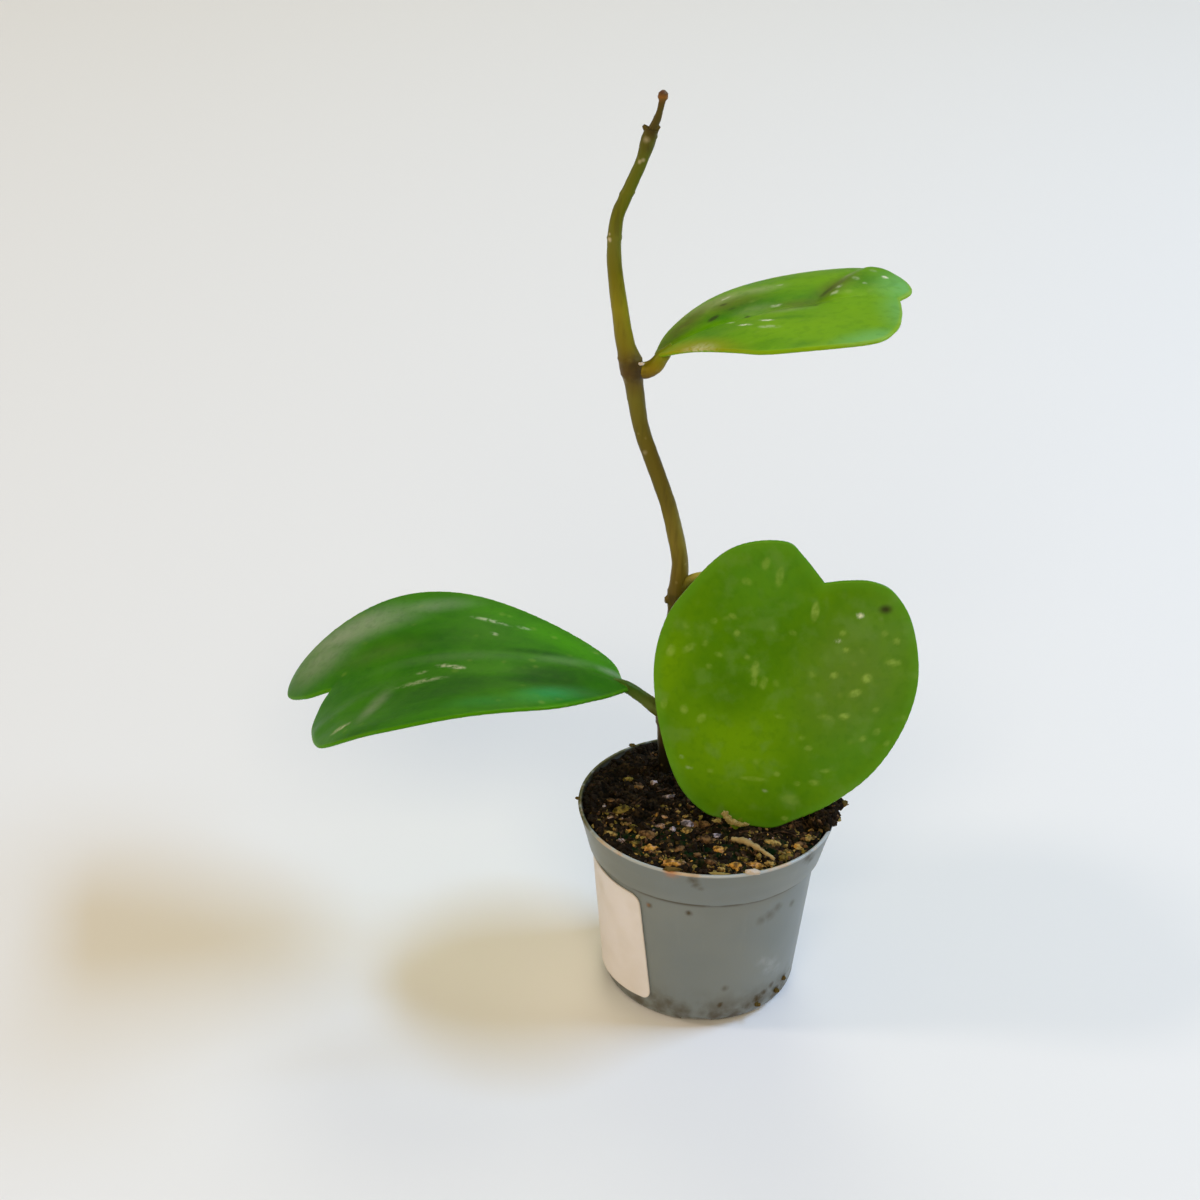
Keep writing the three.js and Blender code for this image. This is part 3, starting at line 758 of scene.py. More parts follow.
@dataclass(frozen=True)
class BarkFinish:
    """Smooth stem skin whose colour changes along its height."""

    name: str
    stops: Stops
    low: float
    high: float
    fleck: Triple = paint(146, 132, 76)
    shade: Triple = paint(54, 44, 14)
    scar: Triple = paint(196, 182, 148)
    scars: Spots = ()
    dark: Triple = paint(48, 32, 16)
    burns: Spots = ()
    rough: float = 0.46

    def material(self) -> Material:
        """The skin's material.

        Returns:
            The material.
        """
        s = Shader(self.name)
        span = self.high - self.low
        share = s.math("DIVIDE", s.math("SUBTRACT", s.height(), self.low * MM), span * MM)
        stops = [((at - self.low) / span, colour) for at, colour in self.stops]
        colour = s.bands(share, stops)
        lines = s.noise(1, 5, s.stretched((900, 900, 90)))
        colour = s.mix(s.step(lines, 0.5, 0.75, 0.35), colour, self.shade)
        warts = s.times(s.step(s.grains(420), 0.22, 0.08, 0.5), s.cloud(160, 3, 0.5, 0.62))
        colour = s.mix(warts, colour, self.fleck)
        colour = s.smear(colour, self.burns, self.dark)
        colour = s.smear(colour, self.scars, self.scar)
        s.dent(s.plus(lines, s.times(s.noise(900, 3), 0.5)), 0.35, 0.15)
        return s.set(
            Base_Color=colour,
            Roughness=self.rough,
            Specular_IOR_Level=0.32,
            Specular_Tint=(1.0, 0.95, 0.4),
        )


class Bench:
    """Everyday handling of Blender objects."""

    @staticmethod
    def clear() -> None:
        """Deselects everything, in object mode."""
        if bpy.context.mode != "OBJECT":
            bpy.ops.object.mode_set(mode="OBJECT")
        bpy.ops.object.select_all(action="DESELECT")

    @staticmethod
    def pick(*pieces: Piece) -> None:
        """Selects pieces, the last of them active.

        Args:
            *pieces: The pieces.
        """
        Bench.clear()
        for piece in pieces:
            piece.select_set(True)
        bpy.context.view_layer.objects.active = pieces[-1]

    @staticmethod
    def new(name: str) -> Piece:
        """Names the object that an operator has just added.

        Args:
            name: Its new name.

        Returns:
            The object.
        """
        made = bpy.context.object
        made.name = name
        made.data.name = name
        return made

    @staticmethod
    def add(name: str, data: bpy.types.ID) -> Piece:
        """Puts new data into the scene.

        Args:
            name: The object's name.
            data: Its mesh, curve, lamp or camera.

        Returns:
            The object.
        """
        made = bpy.data.objects.new(name, data)
        bpy.context.scene.collection.objects.link(made)
        return made

    @staticmethod
    def settle(piece: Piece) -> None:
        """Puts a piece's place into its mesh."""
        Bench.pick(piece)
        bpy.ops.object.transform_apply(location=True, rotation=True, scale=True)

    @staticmethod
    def edit(piece: Piece) -> None:
        """Opens a piece's mesh for editing, all of it selected.

        Args:
            piece: The mesh.
        """
        Bench.pick(piece)
        bpy.ops.object.mode_set(mode="EDIT")
        bpy.ops.mesh.select_all(action="SELECT")

    @staticmethod
    def ball(name: str, detail: int) -> Piece:
        """Adds a ball of one millimetre's radius.

        Args:
            name: Its name.
            detail: How finely its faces are divided.

        Returns:
            The ball.
        """
        Bench.clear()
        bpy.ops.mesh.primitive_ico_sphere_add(subdivisions=detail, radius=MM)
        return Bench.new(name)

    @staticmethod
    def close(piece: Piece, gap: float) -> None:
        """Merges doubled vertices and turns all faces outwards.

        Args:
            piece: The mesh.
            gap: How near doubled vertices lie, in metres.
        """
        Bench.edit(piece)
        bpy.ops.mesh.remove_doubles(threshold=gap)
        bpy.ops.mesh.normals_make_consistent(inside=False)
        bpy.ops.object.mode_set(mode="OBJECT")

    @staticmethod
    def apply(piece: Piece, kind: str, **settings: object) -> None:
        """Adds a modifier and applies it.

        Args:
            piece: The mesh.
            kind: The modifier's type.
            **settings: Its properties.
        """
        modifier = piece.modifiers.new(kind.lower(), kind)
        for key, value in settings.items():
            setattr(modifier, key, value)
        Bench.pick(piece)
        bpy.ops.object.modifier_apply(modifier=modifier.name)

    @staticmethod
    def join(name: str, pieces: list[Piece]) -> Piece:
        """Joins meshes into one.

        Args:
            name: The joined piece's name.
            pieces: The meshes.

        Returns:
            The joined piece.
        """
        Bench.pick(*pieces)
        bpy.ops.object.join()
        return Bench.new(name)

    @staticmethod
    def read(piece: Piece, what: str = "co") -> Array:
        """A number triple of each vertex, as the mesh holds it.

        Args:
            piece: The mesh.
            what: "co" for the places in metres, "normal" for the normals.

        Returns:
            One triple to a row.
        """
        flat = np.empty(3 * len(piece.data.vertices))
        piece.data.vertices.foreach_get(what, flat)
        return flat.reshape(-1, 3)

    @staticmethod
    def points(piece: Piece) -> Array:
        """A mesh's vertices in millimetres, one to a row."""
        return Bench.read(piece) / MM

    @staticmethod
    def place(piece: Piece, points: Array) -> None:
        """Moves a mesh's vertices to points in millimetres."""
        piece.data.vertices.foreach_set("co", (points * MM).astype(np.float32).ravel())
        piece.data.update()

    @staticmethod
    def store(piece: Piece, name: str, values: Array) -> None:
        """Stores a number on each vertex.

        Args:
            piece: The mesh.
            name: The attribute's name.
            values: One number to a vertex.
        """
        made = piece.data.attributes.new(name, "FLOAT", "POINT")
        made.data.foreach_set("value", values.astype(np.float32))

    @staticmethod
    def mesh(name: str, points: Array, faces: list[tuple[int, ...]]) -> Piece:
        """A mesh from points in millimetres.

        Args:
            name: The piece's name.
            points: The points, one to a row.
            faces: Point numbers of each face.

        Returns:
            The mesh.
        """
        data = bpy.data.meshes.new(name)
        data.from_pydata((np.asarray(points) * MM).tolist(), [], faces)
        data.update()
        return Bench.add(name, data)

    @staticmethod
    def tube(name: str, path: Path, sides: int, step: float) -> Piece:
        """Round tube along a smooth path, made as a curve and turned into a mesh.

        Args:
            name: The piece's name.
            path: Points of x, y, z and radius in millimetres.
            sides: How many sides the tube has, a multiple of four.
            step: The wanted distance between its rings in millimetres.

        Returns:
            The closed tube.
        """
        data = bpy.data.curves.new(name, "CURVE")
        data.dimensions = "3D"
        data.bevel_depth = MM
        data.bevel_resolution = sides // 4 - 1
        data.use_fill_caps = True
        spline = data.splines.new("POLY")
        rings = curve_points(path, step)
        spline.points.add(len(rings) - 1)
        for point, (x, y, z, radius) in zip(spline.points, rings):
            point.co = (x * MM, y * MM, z * MM, 1)
            point.radius = radius
        Bench.pick(Bench.add(name, data))
        bpy.ops.object.convert(target="MESH")
        made = bpy.context.object
        Bench.close(made, TUBE_GAP)
        return made

    @staticmethod
    def ripple(
        piece: Piece,
        depth: float,
        scale: float = 0.8,
        seed: float = 2.0,
        upright: float = 0.35,
    ) -> None:
        """Moves a piece's skin in and out a little.

        Args:
            piece: The mesh.
            depth: How far, in millimetres.
            scale: How many ripples fit in a millimetre.
            seed: An offset that makes it another pattern.
            upright: The scale along Z against the scale across.
        """
        points = Bench.points(piece)
        waves = roughness_at(points * np.array([1, 1, upright]), scale, 3, seed)
        Bench.place(piece, points + depth * waves[:, None] * Bench.read(piece, "normal"))

    @staticmethod
    def finish(
        piece: Piece,
        look: Material,
        slot: str,
        *nodes: str,
        angle: float = 60.0,
    ) -> None:
        """Shades and dresses a piece and ties it to the part.

        Args:
            piece: The mesh.
            look: Its material.
            slot: Not used.
            *nodes: The CAD nodes that it stands for.
            angle: Edges sharper than this many degrees stay sharp.
        """
        Bench.pick(piece)
        bpy.ops.object.shade_smooth_by_angle(angle=math.radians(angle))
        piece.data.materials.clear()
        piece.data.materials.append(look)
        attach(piece, "root")
        if nodes:
            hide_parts(*nodes)
        log.info("%s: %d faces", piece.name, len(piece.data.polygons))


def curve_points(path: Path, step: float) -> list[tuple[float, ...]]:
    """Even steps along a smooth path, the same curve as the solid's.

    Args:
        path: Points of x, y, z and radius.
        step: The wanted distance between steps.

    Returns:
        Points of x, y, z and radius.
    """
    p = [np.array(point[:3]) for point in path]
    p = [2 * p[0] - p[1], *p, 2 * p[-1] - p[-2]]
    made = []
    for i in range(len(path) - 1):
        a, b, c, d = p[i : i + 4]
        knots = np.cumsum([0, *(np.linalg.norm(v) ** 0.5 for v in (b - a, c - b, d - c))])
        count = max(int(np.linalg.norm(c - b) / step), 2)
        for k in range(count + (i == len(path) - 2)):
            u = k / count
            t = knots[1] + u * (knots[2] - knots[1])
            ab = a + (b - a) * (t - knots[0]) / (knots[1] - knots[0])
            bc = b + (c - b) * (t - knots[1]) / (knots[2] - knots[1])
            cd = c + (d - c) * (t - knots[2]) / (knots[3] - knots[2])
            abc = ab + (bc - ab) * (t - knots[0]) / (knots[2] - knots[0])
            bcd = bc + (cd - bc) * (t - knots[1]) / (knots[3] - knots[1])
            at = abc + (bcd - abc) * (t - knots[1]) / (knots[2] - knots[1])
            swell = u * u * (3 - 2 * u)
            radius = path[i][3] + (path[i + 1][3] - path[i][3]) * swell
            made.append((*at, radius))
    return made


@dataclass
class Pot:
    """Thin round nursery pot with a collar and drain slots."""

    height: float = 48.3
    rim: float = 30.0
    collar_edge: float = 27.4
    collar_height: float = 38.4
    undercut: float = 0.8
    body_top: float = 26.1
    base: float = 22.8
    foot: float = 5.0
    wall: float = 0.9
    floor: float = 1.3
    slots: int = 5
    first_slot: float = -20.0
    slot_width: float = 7.0
    slot_height: float = 2.2
    slot_inner: float = 16.5
    ledge: float = 0.3
    bevel: float = 0.16
    corner: float = 0.06
    body_rings: tuple[float, ...] = (12, 19, 26, 33)
    collar_rings: tuple[float, ...] = (41, 44)
    inner_collar_rings: tuple[float, ...] = (45, 42)
    inner_body_rings: tuple[float, ...] = (30, 20, 12)
    turns: int = 192

    def body_radius(self, z: float) -> float:
        """Outer radius of the straight body at a height."""
        rise = (z - self.foot) / (self.collar_height - self.undercut - self.foot)
        return self.base + (self.body_top - self.base) * rise

    def collar_radius(self, z: float) -> float:
        """Outer radius of the collar at a height."""
        rise = (z - self.collar_height) / (self.height - self.collar_height)
        return self.collar_edge + (self.rim - self.collar_edge) * rise

    @staticmethod
    def arc(centre: Pair, radius: float, start: float, end: float, steps: int) -> list[Pair]:
        """Points on an arc of the section.

        Args:
            centre: The arc's middle.
            radius: Its radius.
            start: First angle in degrees.
            end: Last angle in degrees.
            steps: How many steps.

        Returns:
            Radius and height of each point.
        """
        turn = [math.radians(start + (end - start) * k / steps) for k in range(steps + 1)]
        return [(centre[0] + radius * math.cos(t), centre[1] + radius * math.sin(t)) for t in turn]

    def section(self) -> list[Pair]:
        """The wall's section from the middle outside to the middle inside.

        Returns:
            Radius and height of each corner.
        """
        flat = self.base - self.foot
        lip = self.wall / 2
        seat = self.collar_height - self.undercut
        return [
            (0, 0),
            (flat * 0.6, 0),
            *self.arc((flat, self.foot), self.foot, -90, 0, 12),
            *[(self.body_radius(z), z) for z in self.body_rings],
            (self.body_top, seat),
            (self.collar_edge - self.ledge, self.collar_height - self.bevel),
            (self.collar_edge - self.corner, self.collar_height - self.corner),
            (self.collar_edge + self.corner, self.collar_height + self.bevel),
            *[(self.collar_radius(z), z) for z in self.collar_rings],
            *self.arc((self.rim - lip, self.height - lip), lip, 0, 180, 10),
            *[(self.collar_radius(z) - self.wall, z) for z in self.inner_collar_rings],
            (self.collar_edge - self.wall, self.collar_height + self.wall),
            (self.body_top - self.wall, seat + self.wall),
            *[(self.body_radius(z) - self.wall, z) for z in self.inner_body_rings],
            *self.arc((flat, self.foot), self.foot - self.floor, 0, -90, 8),
            (0, self.floor),
        ]

    def turned(self) -> Piece:
        """The wall, drawn from one corner of a plane and spun round the axis.

        Returns:
            The wall.
        """
        Bench.clear()
        bpy.ops.mesh.primitive_plane_add(size=MM, location=(0, 0, 0))
        piece = Bench.new("nursery_pot")
        Bench.edit(piece)
        bpy.ops.mesh.merge(type="CENTER")
        outline = self.section()
        for (r0, z0), (r1, z1) in zip(outline, outline[1:]):
            bpy.ops.mesh.extrude_region_move(
                TRANSFORM_OT_translate={"value": ((r1 - r0) * MM, 0, (z1 - z0) * MM)}
            )
        bpy.ops.mesh.select_all(action="SELECT")
        bpy.ops.mesh.spin(
            steps=self.turns, angle=2 * math.pi, center=(0, 0, 0), axis=(0, 0, 1), use_auto_merge=True
        )
        bpy.ops.object.mode_set(mode="OBJECT")
        Bench.close(piece, SEAM_GAP)
        return piece

    def cutters(self) -> Piece:
        """Blocks that cut the drain slots through the foot.

        Returns:
            The blocks as one mesh.
        """
        made = []
        length = self.base + self.wall - self.slot_inner
        middle = self.slot_inner + length / 2
        for k in range(self.slots):
            turn = math.radians(self.first_slot + 360 * k / self.slots)
            Bench.clear()
            bpy.ops.mesh.primitive_cube_add(
                size=1,
                location=(middle * math.cos(turn) * MM, middle * math.sin(turn) * MM, 0),
                rotation=(0, 0, turn),
                scale=(length * MM, self.slot_width * MM, 2 * self.slot_height * MM),
            )
            made.append(Bench.new("slot_cutter"))
        block = Bench.join("slot_cutters", made)
        Bench.settle(block)
        return block

    def build(self) -> None:
        """Makes and dresses the pot."""
        piece = self.turned()
        block = self.cutters()
        Bench.apply(piece, "BOOLEAN", object=block, operation="DIFFERENCE", solver="EXACT")
        bpy.data.objects.remove(block)
        Bench.finish(piece, PlasticFinish().material(), "pot_plastic", "pot", angle=35)


@dataclass
class Sticker:
    """Blank paper label round the pot's left side."""

    pot: Pot
    right: float = -120.0
    lean: float = -0.2
    wrap: float = 92.0
    bottom: float = 6.0
    fall: float = 2.0
    top: float = 36.0
    corner: float = 2.5
    gap: float = 0.12
    thickness: float = 0.3
    bubbles: float = 0.06
    columns: int = 96
    rows: int = 40

    def build(self) -> None:
        """Makes the label from a flat grid and wraps it round the pot."""
        Bench.clear()
        bpy.ops.mesh.primitive_grid_add(x_subdivisions=self.columns, y_subdivisions=self.rows, size=1)
        piece = Bench.new("blank_label")
        flat = Bench.read(piece) + 0.5
        u, v = (1 - np.cos(math.pi * flat[:, 0])) / 2, flat[:, 1]
        width = math.radians(self.wrap) * self.pot.body_top
        side = np.minimum(u, 1 - u) * width
        cut = self.corner - np.sqrt(self.corner**2 - np.clip(self.corner - side, 0, None) ** 2)
        low = self.bottom - self.fall * u + cut
        high = self.top - cut
        z = low + (high - low) * v
        angle = np.radians(self.right + self.lean * (z - self.bottom) - self.wrap * u)
        radius = self.pot.body_radius(np.maximum(z, self.pot.foot))
        bubble = self.bubbles * np.sin(0.9 * z + 5 * u) * np.sin(17 * u + 0.3 * z)
        radius = radius + self.gap + np.abs(bubble)
        Bench.place(piece, np.stack([radius * np.cos(angle), radius * np.sin(angle), z], 1))
        Bench.store(piece, RIM, np.minimum(side, np.minimum(z - low, high - z)))
        Bench.edit(piece)
        bpy.ops.mesh.normals_make_consistent(inside=False)
        bpy.ops.object.mode_set(mode="OBJECT")
        middle = piece.data.polygons[len(piece.data.polygons) // 2]
        outward = middle.center.x * middle.normal.x + middle.center.y * middle.normal.y
        if outward < 0:
            piece.data.flip_normals()
        Bench.apply(piece, "SOLIDIFY", thickness=self.thickness * MM, offset=1)
        Bench.finish(piece, PaperFinish().material(), "label_paper", "label", angle=40)


class Grain(Enum):
    """What a crumb of the soil is made of. The value is its place on the soil's colour scale."""

    PEAT = 0.05
    HUMUS = 0.22
    BARK = 0.4
    BROWN = 0.55
    OLIVE = 0.66
    TAN = 0.78
    OCHRE = 0.88
    ROSE = 0.95
    CHALK = 1.0


@dataclass(frozen=True)
class Bit:
    """A crumb that can be told apart: its place, size and turn as seen from above."""

    grain: Grain
    x: float
    y: float
    length: float
    width: float
    turn: float = 0.0


@dataclass(frozen=True)
class Strewing:
    """A handful of crumbs of one kind, strewn over a sector of the soil."""

    count: int
    sizes: Pair
    squash: Pair
    sector: Pair
    grains: Pair
    detail: int
    sunk: float
    near: float = 0.0


@dataclass
class Soil:
    """Peat mix with bark chips, grit and fibres, and what has spilled over the rim."""

    pot: Pot
    level: float = 47.3
    dome: float = 1.1
    front_fall: float = 0.5
    hollows: tuple[tuple[float, float, float, float], ...] = (
        (0.35, 0.31, 0.24, 1.2), (0.3, 0.83, -0.52, 0.4), (0.22, 0.77, 1.31, 1.6),
    )
    edge: float = 28.4
    gap: float = 0.1
    clods: float = 0.5
    ridges: float = 0.9
    ridge_level: float = 0.35
    back_rise: float = 0.5
    lift: float = 0.45
    shapes: int = 4
    strands: int = 30
    strand: Pair = (0.16, 0.1)
    sides: int = 320
    rings: int = 120
    spill: Lumps = (
        ((26.6, -4.1, 48.7), (3.6, 5.4, 2.1)),
        ((29.2, -0.9, 49.7), (2.0, 2.3, 1.5)),
    )
    seed: int = 23
    strewn: tuple[Strewing, ...] = (
        Strewing(1500, (0.3, 0.9), (0.5, 0.95), (0, 360), (0.0, 0.26), 1, 0.15),
        Strewing(430, (0.7, 1.5), (0.5, 0.9), (0, 360), (0.0, 0.28), 2, 0.3),
        Strewing(480, (0.3, 1.0), (0.45, 0.9), (0, 360), (0.25, 0.5), 1, 0.1),
        Strewing(110, (0.7, 1.4), (0.4, 0.8), (-60, 30), (0.25, 0.46), 2, 0.25),
        Strewing(340, (0.25, 0.85), (0.4, 0.85), (-175, -5), (0.45, 0.88), 1, 0.0),
        Strewing(80, (0.7, 1.25), (0.4, 0.8), (-170, -20), (0.5, 0.84), 2, 0.15),
        Strewing(60, (0.5, 1.1), (0.45, 0.85), (-135, -35), (0.62, 0.88), 2, 0.0, 0.82),
        Strewing(16, (0.25, 0.5), (0.6, 0.95), (-200, -20), (0.93, 1.0), 1, 0.0),
        Strewing(420, (0.45, 1.1), (0.5, 0.9), (70, 268), (0.0, 0.3), 1, -0.35, 0.93),
        Strewing(70, (0.3, 0.7), (0.5, 0.9), (-165, -10), (0.35, 0.8), 1, -0.2, 0.95),
    )
    heaped: tuple[Strewing, ...] = (
        Strewing(260, (0.35, 1.1), (0.5, 0.9), (0, 360), (0.0, 0.3), 1, 0.0),
        Strewing(90, (0.3, 0.9), (0.5, 0.9), (0, 360), (0.3, 0.55), 1, 0.0),
        Strewing(8, (0.3, 0.6), (0.4, 0.8), (0, 360), (0.6, 0.8), 1, -0.2),
    )
    bits: tuple[Bit, ...] = (
        Bit(Grain.ROSE, -12.3, 7.8, 1.9, 1.4), Bit(Grain.BROWN, -15.9, 5.4, 2.3, 1.4),
        Bit(Grain.ROSE, -8.9, 2.4, 3.9, 1.3, 20), Bit(Grain.BROWN, -22.4, -1.0, 1.9, 1.2),
        Bit(Grain.OLIVE, -19.5, -4.1, 4.0, 2.3, 15), Bit(Grain.ROSE, -22.3, -6.7, 1.9, 1.2),
        Bit(Grain.TAN, -22.7, -13.8, 3.3, 1.9, -10), Bit(Grain.ROSE, -19.9, -15.4, 1.8, 1.4),
        Bit(Grain.OLIVE, -16.6, -11.0, 3.3, 1.9, -45), Bit(Grain.OLIVE, -16.4, -17.0, 1.9, 1.5),
        Bit(Grain.OCHRE, -13.3, -18.2, 2.8, 2.1), Bit(Grain.BROWN, -14.0, -13.8, 3.3, 2.1, -20),
        Bit(Grain.ROSE, -10.9, -10.8, 2.1, 1.4), Bit(Grain.CHALK, -8.0, -11.8, 1.6, 1.2),
        Bit(Grain.ROSE, -10.0, -7.9, 1.6, 0.9), Bit(Grain.CHALK, -4.7, -9.3, 2.8, 1.9, -20),
        Bit(Grain.BROWN, -0.9, -9.0, 2.8, 1.9), Bit(Grain.TAN, -4.8, -12.4, 2.1, 1.6),
        Bit(Grain.CHALK, 2.0, -13.2, 2.1, 1.4), Bit(Grain.BROWN, -0.4, -15.7, 3.3, 2.1),
        Bit(Grain.OCHRE, 2.3, -18.5, 2.8, 2.1), Bit(Grain.OCHRE, -7.9, -24.6, 4.8, 2.1, 8),
        Bit(Grain.BROWN, -2.7, -21.9, 1.6, 1.2), Bit(Grain.BROWN, 0.4, -24.8, 2.8, 1.6, -30),
        Bit(Grain.TAN, 2.5, -26.4, 1.9, 1.2), Bit(Grain.OCHRE, 6.0, -24.1, 2.6, 1.9),
        Bit(Grain.OCHRE, 10.3, -23.9, 4.7, 1.6), Bit(Grain.TAN, 13.8, -23.0, 2.3, 1.6),
        Bit(Grain.OLIVE, 17.4, -21.2, 3.7, 1.6, 25), Bit(Grain.TAN, 14.6, -16.0, 3.3, 1.9, -20),
        Bit(Grain.TAN, 23.4, -13.2, 2.8, 1.2, 20), Bit(Grain.OLIVE, 8.2, -21.4, 2.3, 1.4, -30),
        Bit(Grain.BROWN, 11.7, -18.8, 2.8, 1.4, -30), Bit(Grain.BROWN, 20.6, -15.6, 3.0, 1.8, 30),
        Bit(Grain.BROWN, -6.6, -19.2, 2.6, 1.6, 30), Bit(Grain.OLIVE, -18.2, 9.6, 2.6, 1.5, 0),
    )

    def surface(self, x: Array, y: Array) -> Array:
        """Height of the smooth soil surface, the same as the solid's.

        Args:
            x: Places along X.
            y: Places along Y.

        Returns:
            The heights.
        """
        out = np.hypot(x, y) / self.pot.rim
        z = self.level + self.dome * (1 - out * out)
        z = z + np.where(y < 0, self.front_fall * y / self.pot.rim, 0)
        for depth, across_x, across_y, start in self.hollows:
            z = z + depth * np.sin(across_x * x + across_y * y + start)
        return z

    def ground(self) -> Piece:
        """The root ball, closed below, with a crumbly top.

        Returns:
            The root ball.
        """
        flat = self.pot.base - self.pot.foot
        low = self.pot.foot - self.pot.floor - self.gap
        seat = self.pot.collar_height - self.pot.undercut
        section = [
            *self.pot.arc((flat, self.pot.foot), low, -90, 0, 5),
            (self.pot.body_top - self.pot.wall - self.gap, seat + self.pot.wall),
            (self.pot.collar_edge - self.pot.wall - self.gap, self.pot.collar_height + self.pot.wall),
        ]
        turn = np.arange(self.sides) * 2 * math.pi / self.sides
        rows = [
            np.stack([r * np.cos(turn), r * np.sin(turn), np.full(self.sides, z)], 1)
            for r, z in section
        ]
        for k in range(self.rings):
            r = self.edge * (1 - k / self.rings)
            x, y = r * np.cos(turn), r * np.sin(turn)
            rows.append(np.stack([x, y, self.surface(x, y)], 1))
        points = np.concatenate([*rows, [[0, 0, rows[0][0, 2]], [0, 0, rows[-1][0, 2]]]])
        top = len(section) * self.sides
        rough = roughness_at(points[top:], 0.3, 3, 4.0) * self.clods
        creases = np.abs(roughness_at(points[top:], 0.55, 3, 9.0))
        rough += (self.ridge_level - creases) * self.ridges
        out = np.hypot(points[top:, 0], points[top:, 1])
        away = smooth(0.0, 1.5, self.edge - out + 0.4)
        points[top:, 2] += rough * (0.3 + 0.7 * away)
        points[top:, 2] += self.back_rise * smooth(22, 28, out) * smooth(-8, 10, points[top:, 1])
        faces = []
        for row in range(len(rows) - 1):
            for side in range(self.sides):
                after = (side + 1) % self.sides
                a, b = row * self.sides, (row + 1) * self.sides
                faces.append((a + side, a + after, b + after, b + side))
        last = (len(rows) - 1) * self.sides
        base, crown = len(points) - 2, len(points) - 1
        for side in range(self.sides):
            after = (side + 1) % self.sides
            faces.append((base, after, side))
            faces.append((crown, last + side, last + after))
        piece = Bench.mesh("potting_soil", points, faces)
        # Relief height, from which the peat's material paints shade in the hollows
        Bench.store(piece, RELIEF, np.concatenate([np.zeros(top), smooth(-0.25, 0.4, rough)]))
        return piece

    def heap(self) -> list[Piece]:
        """Rough lumps of soil over the right side of the rim.

        Returns:
            The lumps.
        """
        made = []
        for k, (at, size) in enumerate(self.spill):
            piece = Bench.ball(f"spill_{k}", 5)
            points = Bench.points(piece) * np.array(size) + np.array(at)
            rough = roughness_at(points, 0.7, 4, 3.0)
            points += (points - np.array(at)) * (rough * 0.34)[:, None]
            Bench.place(piece, points)
            Bench.store(piece, RELIEF, smooth(-0.3, 0.4, rough))
            made.append(piece)
        return made

    def crumb_shape(self, detail: int, dice: random.Random) -> tuple[Array, list]:
        """One angular crumb of about unit radius.

        Args:
            detail: 1 for twenty faces, 2 for thirty-five.
            dice: Seeded random numbers.

        Returns:
            Its points and faces.
        """
        Bench.clear()
        if detail == 1:
            bpy.ops.mesh.primitive_ico_sphere_add(subdivisions=1, radius=1)
        else:
            bpy.ops.mesh.primitive_uv_sphere_add(segments=7, ring_count=5, radius=1)
        piece = Bench.new("crumb")
        points = np.array([v.co for v in piece.data.vertices])
        faces = [tuple(p.vertices) for p in piece.data.polygons]
        bpy.data.objects.remove(piece)
        return points * (1 + 0.75 * np.array([[dice.random() - 0.5] for _ in points])), faces

    def height_of(self, x: float, y: float) -> float:
        """Height of the smooth soil surface at one place."""
        return float(self.surface(np.array(x), np.array(y)))

    def on_soil(self, dice: random.Random, strewing: Strewing) -> Triple:
        """A random place on the soil within a strewing's sector.

        Args:
            dice: Seeded random numbers.
            strewing: The handful.

        Returns:
            The place.
        """
        hole = strewing.near**2
        r = (self.pot.rim - 1.7) * math.sqrt(hole + (1 - hole) * dice.random())
        turn = math.radians(dice.uniform(*strewing.sector))
        x, y = r * math.cos(turn), r * math.sin(turn)
        return x, y, self.height_of(x, y)

    def on_heap(self, dice: random.Random) -> Triple:
        """A random place on the upper side of the spilled lumps.

        Args:
            dice: Seeded random numbers.

        Returns:
            The place.
        """
        at, size = self.spill[0 if dice.random() < 0.75 else 1]
        turn, rise = dice.uniform(0, 2 * math.pi), dice.uniform(-0.1, 1.0)
        flat = math.sqrt(1 - rise * rise)
        way = (flat * math.cos(turn), flat * math.sin(turn), rise)
        return tuple(c + s * w for c, s, w in zip(at, size, way))

    def scatter(self, name: str, strewn: tuple[Strewing, ...], heaped: bool) -> Piece:
        """Crumbs strewn at random, each a copy of one of a few shapes.

        Args:
            name: The piece's name.
            strewn: The handfuls.
            heaped: Whether they lie on the spilled heap, and not on the soil.

        Returns:
            The crumbs as one mesh.
        """
        dice = random.Random(self.seed)
        points, faces, grains, total = [], [], [], 0
        for strewing in strewn:
            shapes = [self.crumb_shape(strewing.detail, dice) for _ in range(self.shapes)]
            for _ in range(strewing.count):
                shape, corners = dice.choice(shapes)
                low, high = strewing.sizes
                size = low + (high - low) * dice.random() ** 1.8
                squash = strewing.squash
                scale = np.array([1, dice.uniform(*squash), dice.uniform(*squash)]) * size
                spin = np.array(
                    Matrix.Rotation(dice.uniform(0, TURN), 3, "Z")
                    @ Matrix.Rotation(dice.uniform(-0.7, 0.7), 3, "X")
                    @ Matrix.Rotation(dice.uniform(-0.5, 0.5), 3, "Y")
                )
                x, y, z = self.on_heap(dice) if heaped else self.on_soil(dice, strewing)
                middle = np.array([x, y, z - strewing.sunk * size + 0.15])
                points.append((shape * scale) @ spin.T + middle)
                faces += [tuple(total + c for c in face) for face in corners]
                grains.append(np.full(len(shape), dice.uniform(*strewing.grains)))
                total += len(shape)
        piece = Bench.mesh(name, np.concatenate(points), faces)
        Bench.store(piece, GRAIN, np.concatenate(grains))
        return piece

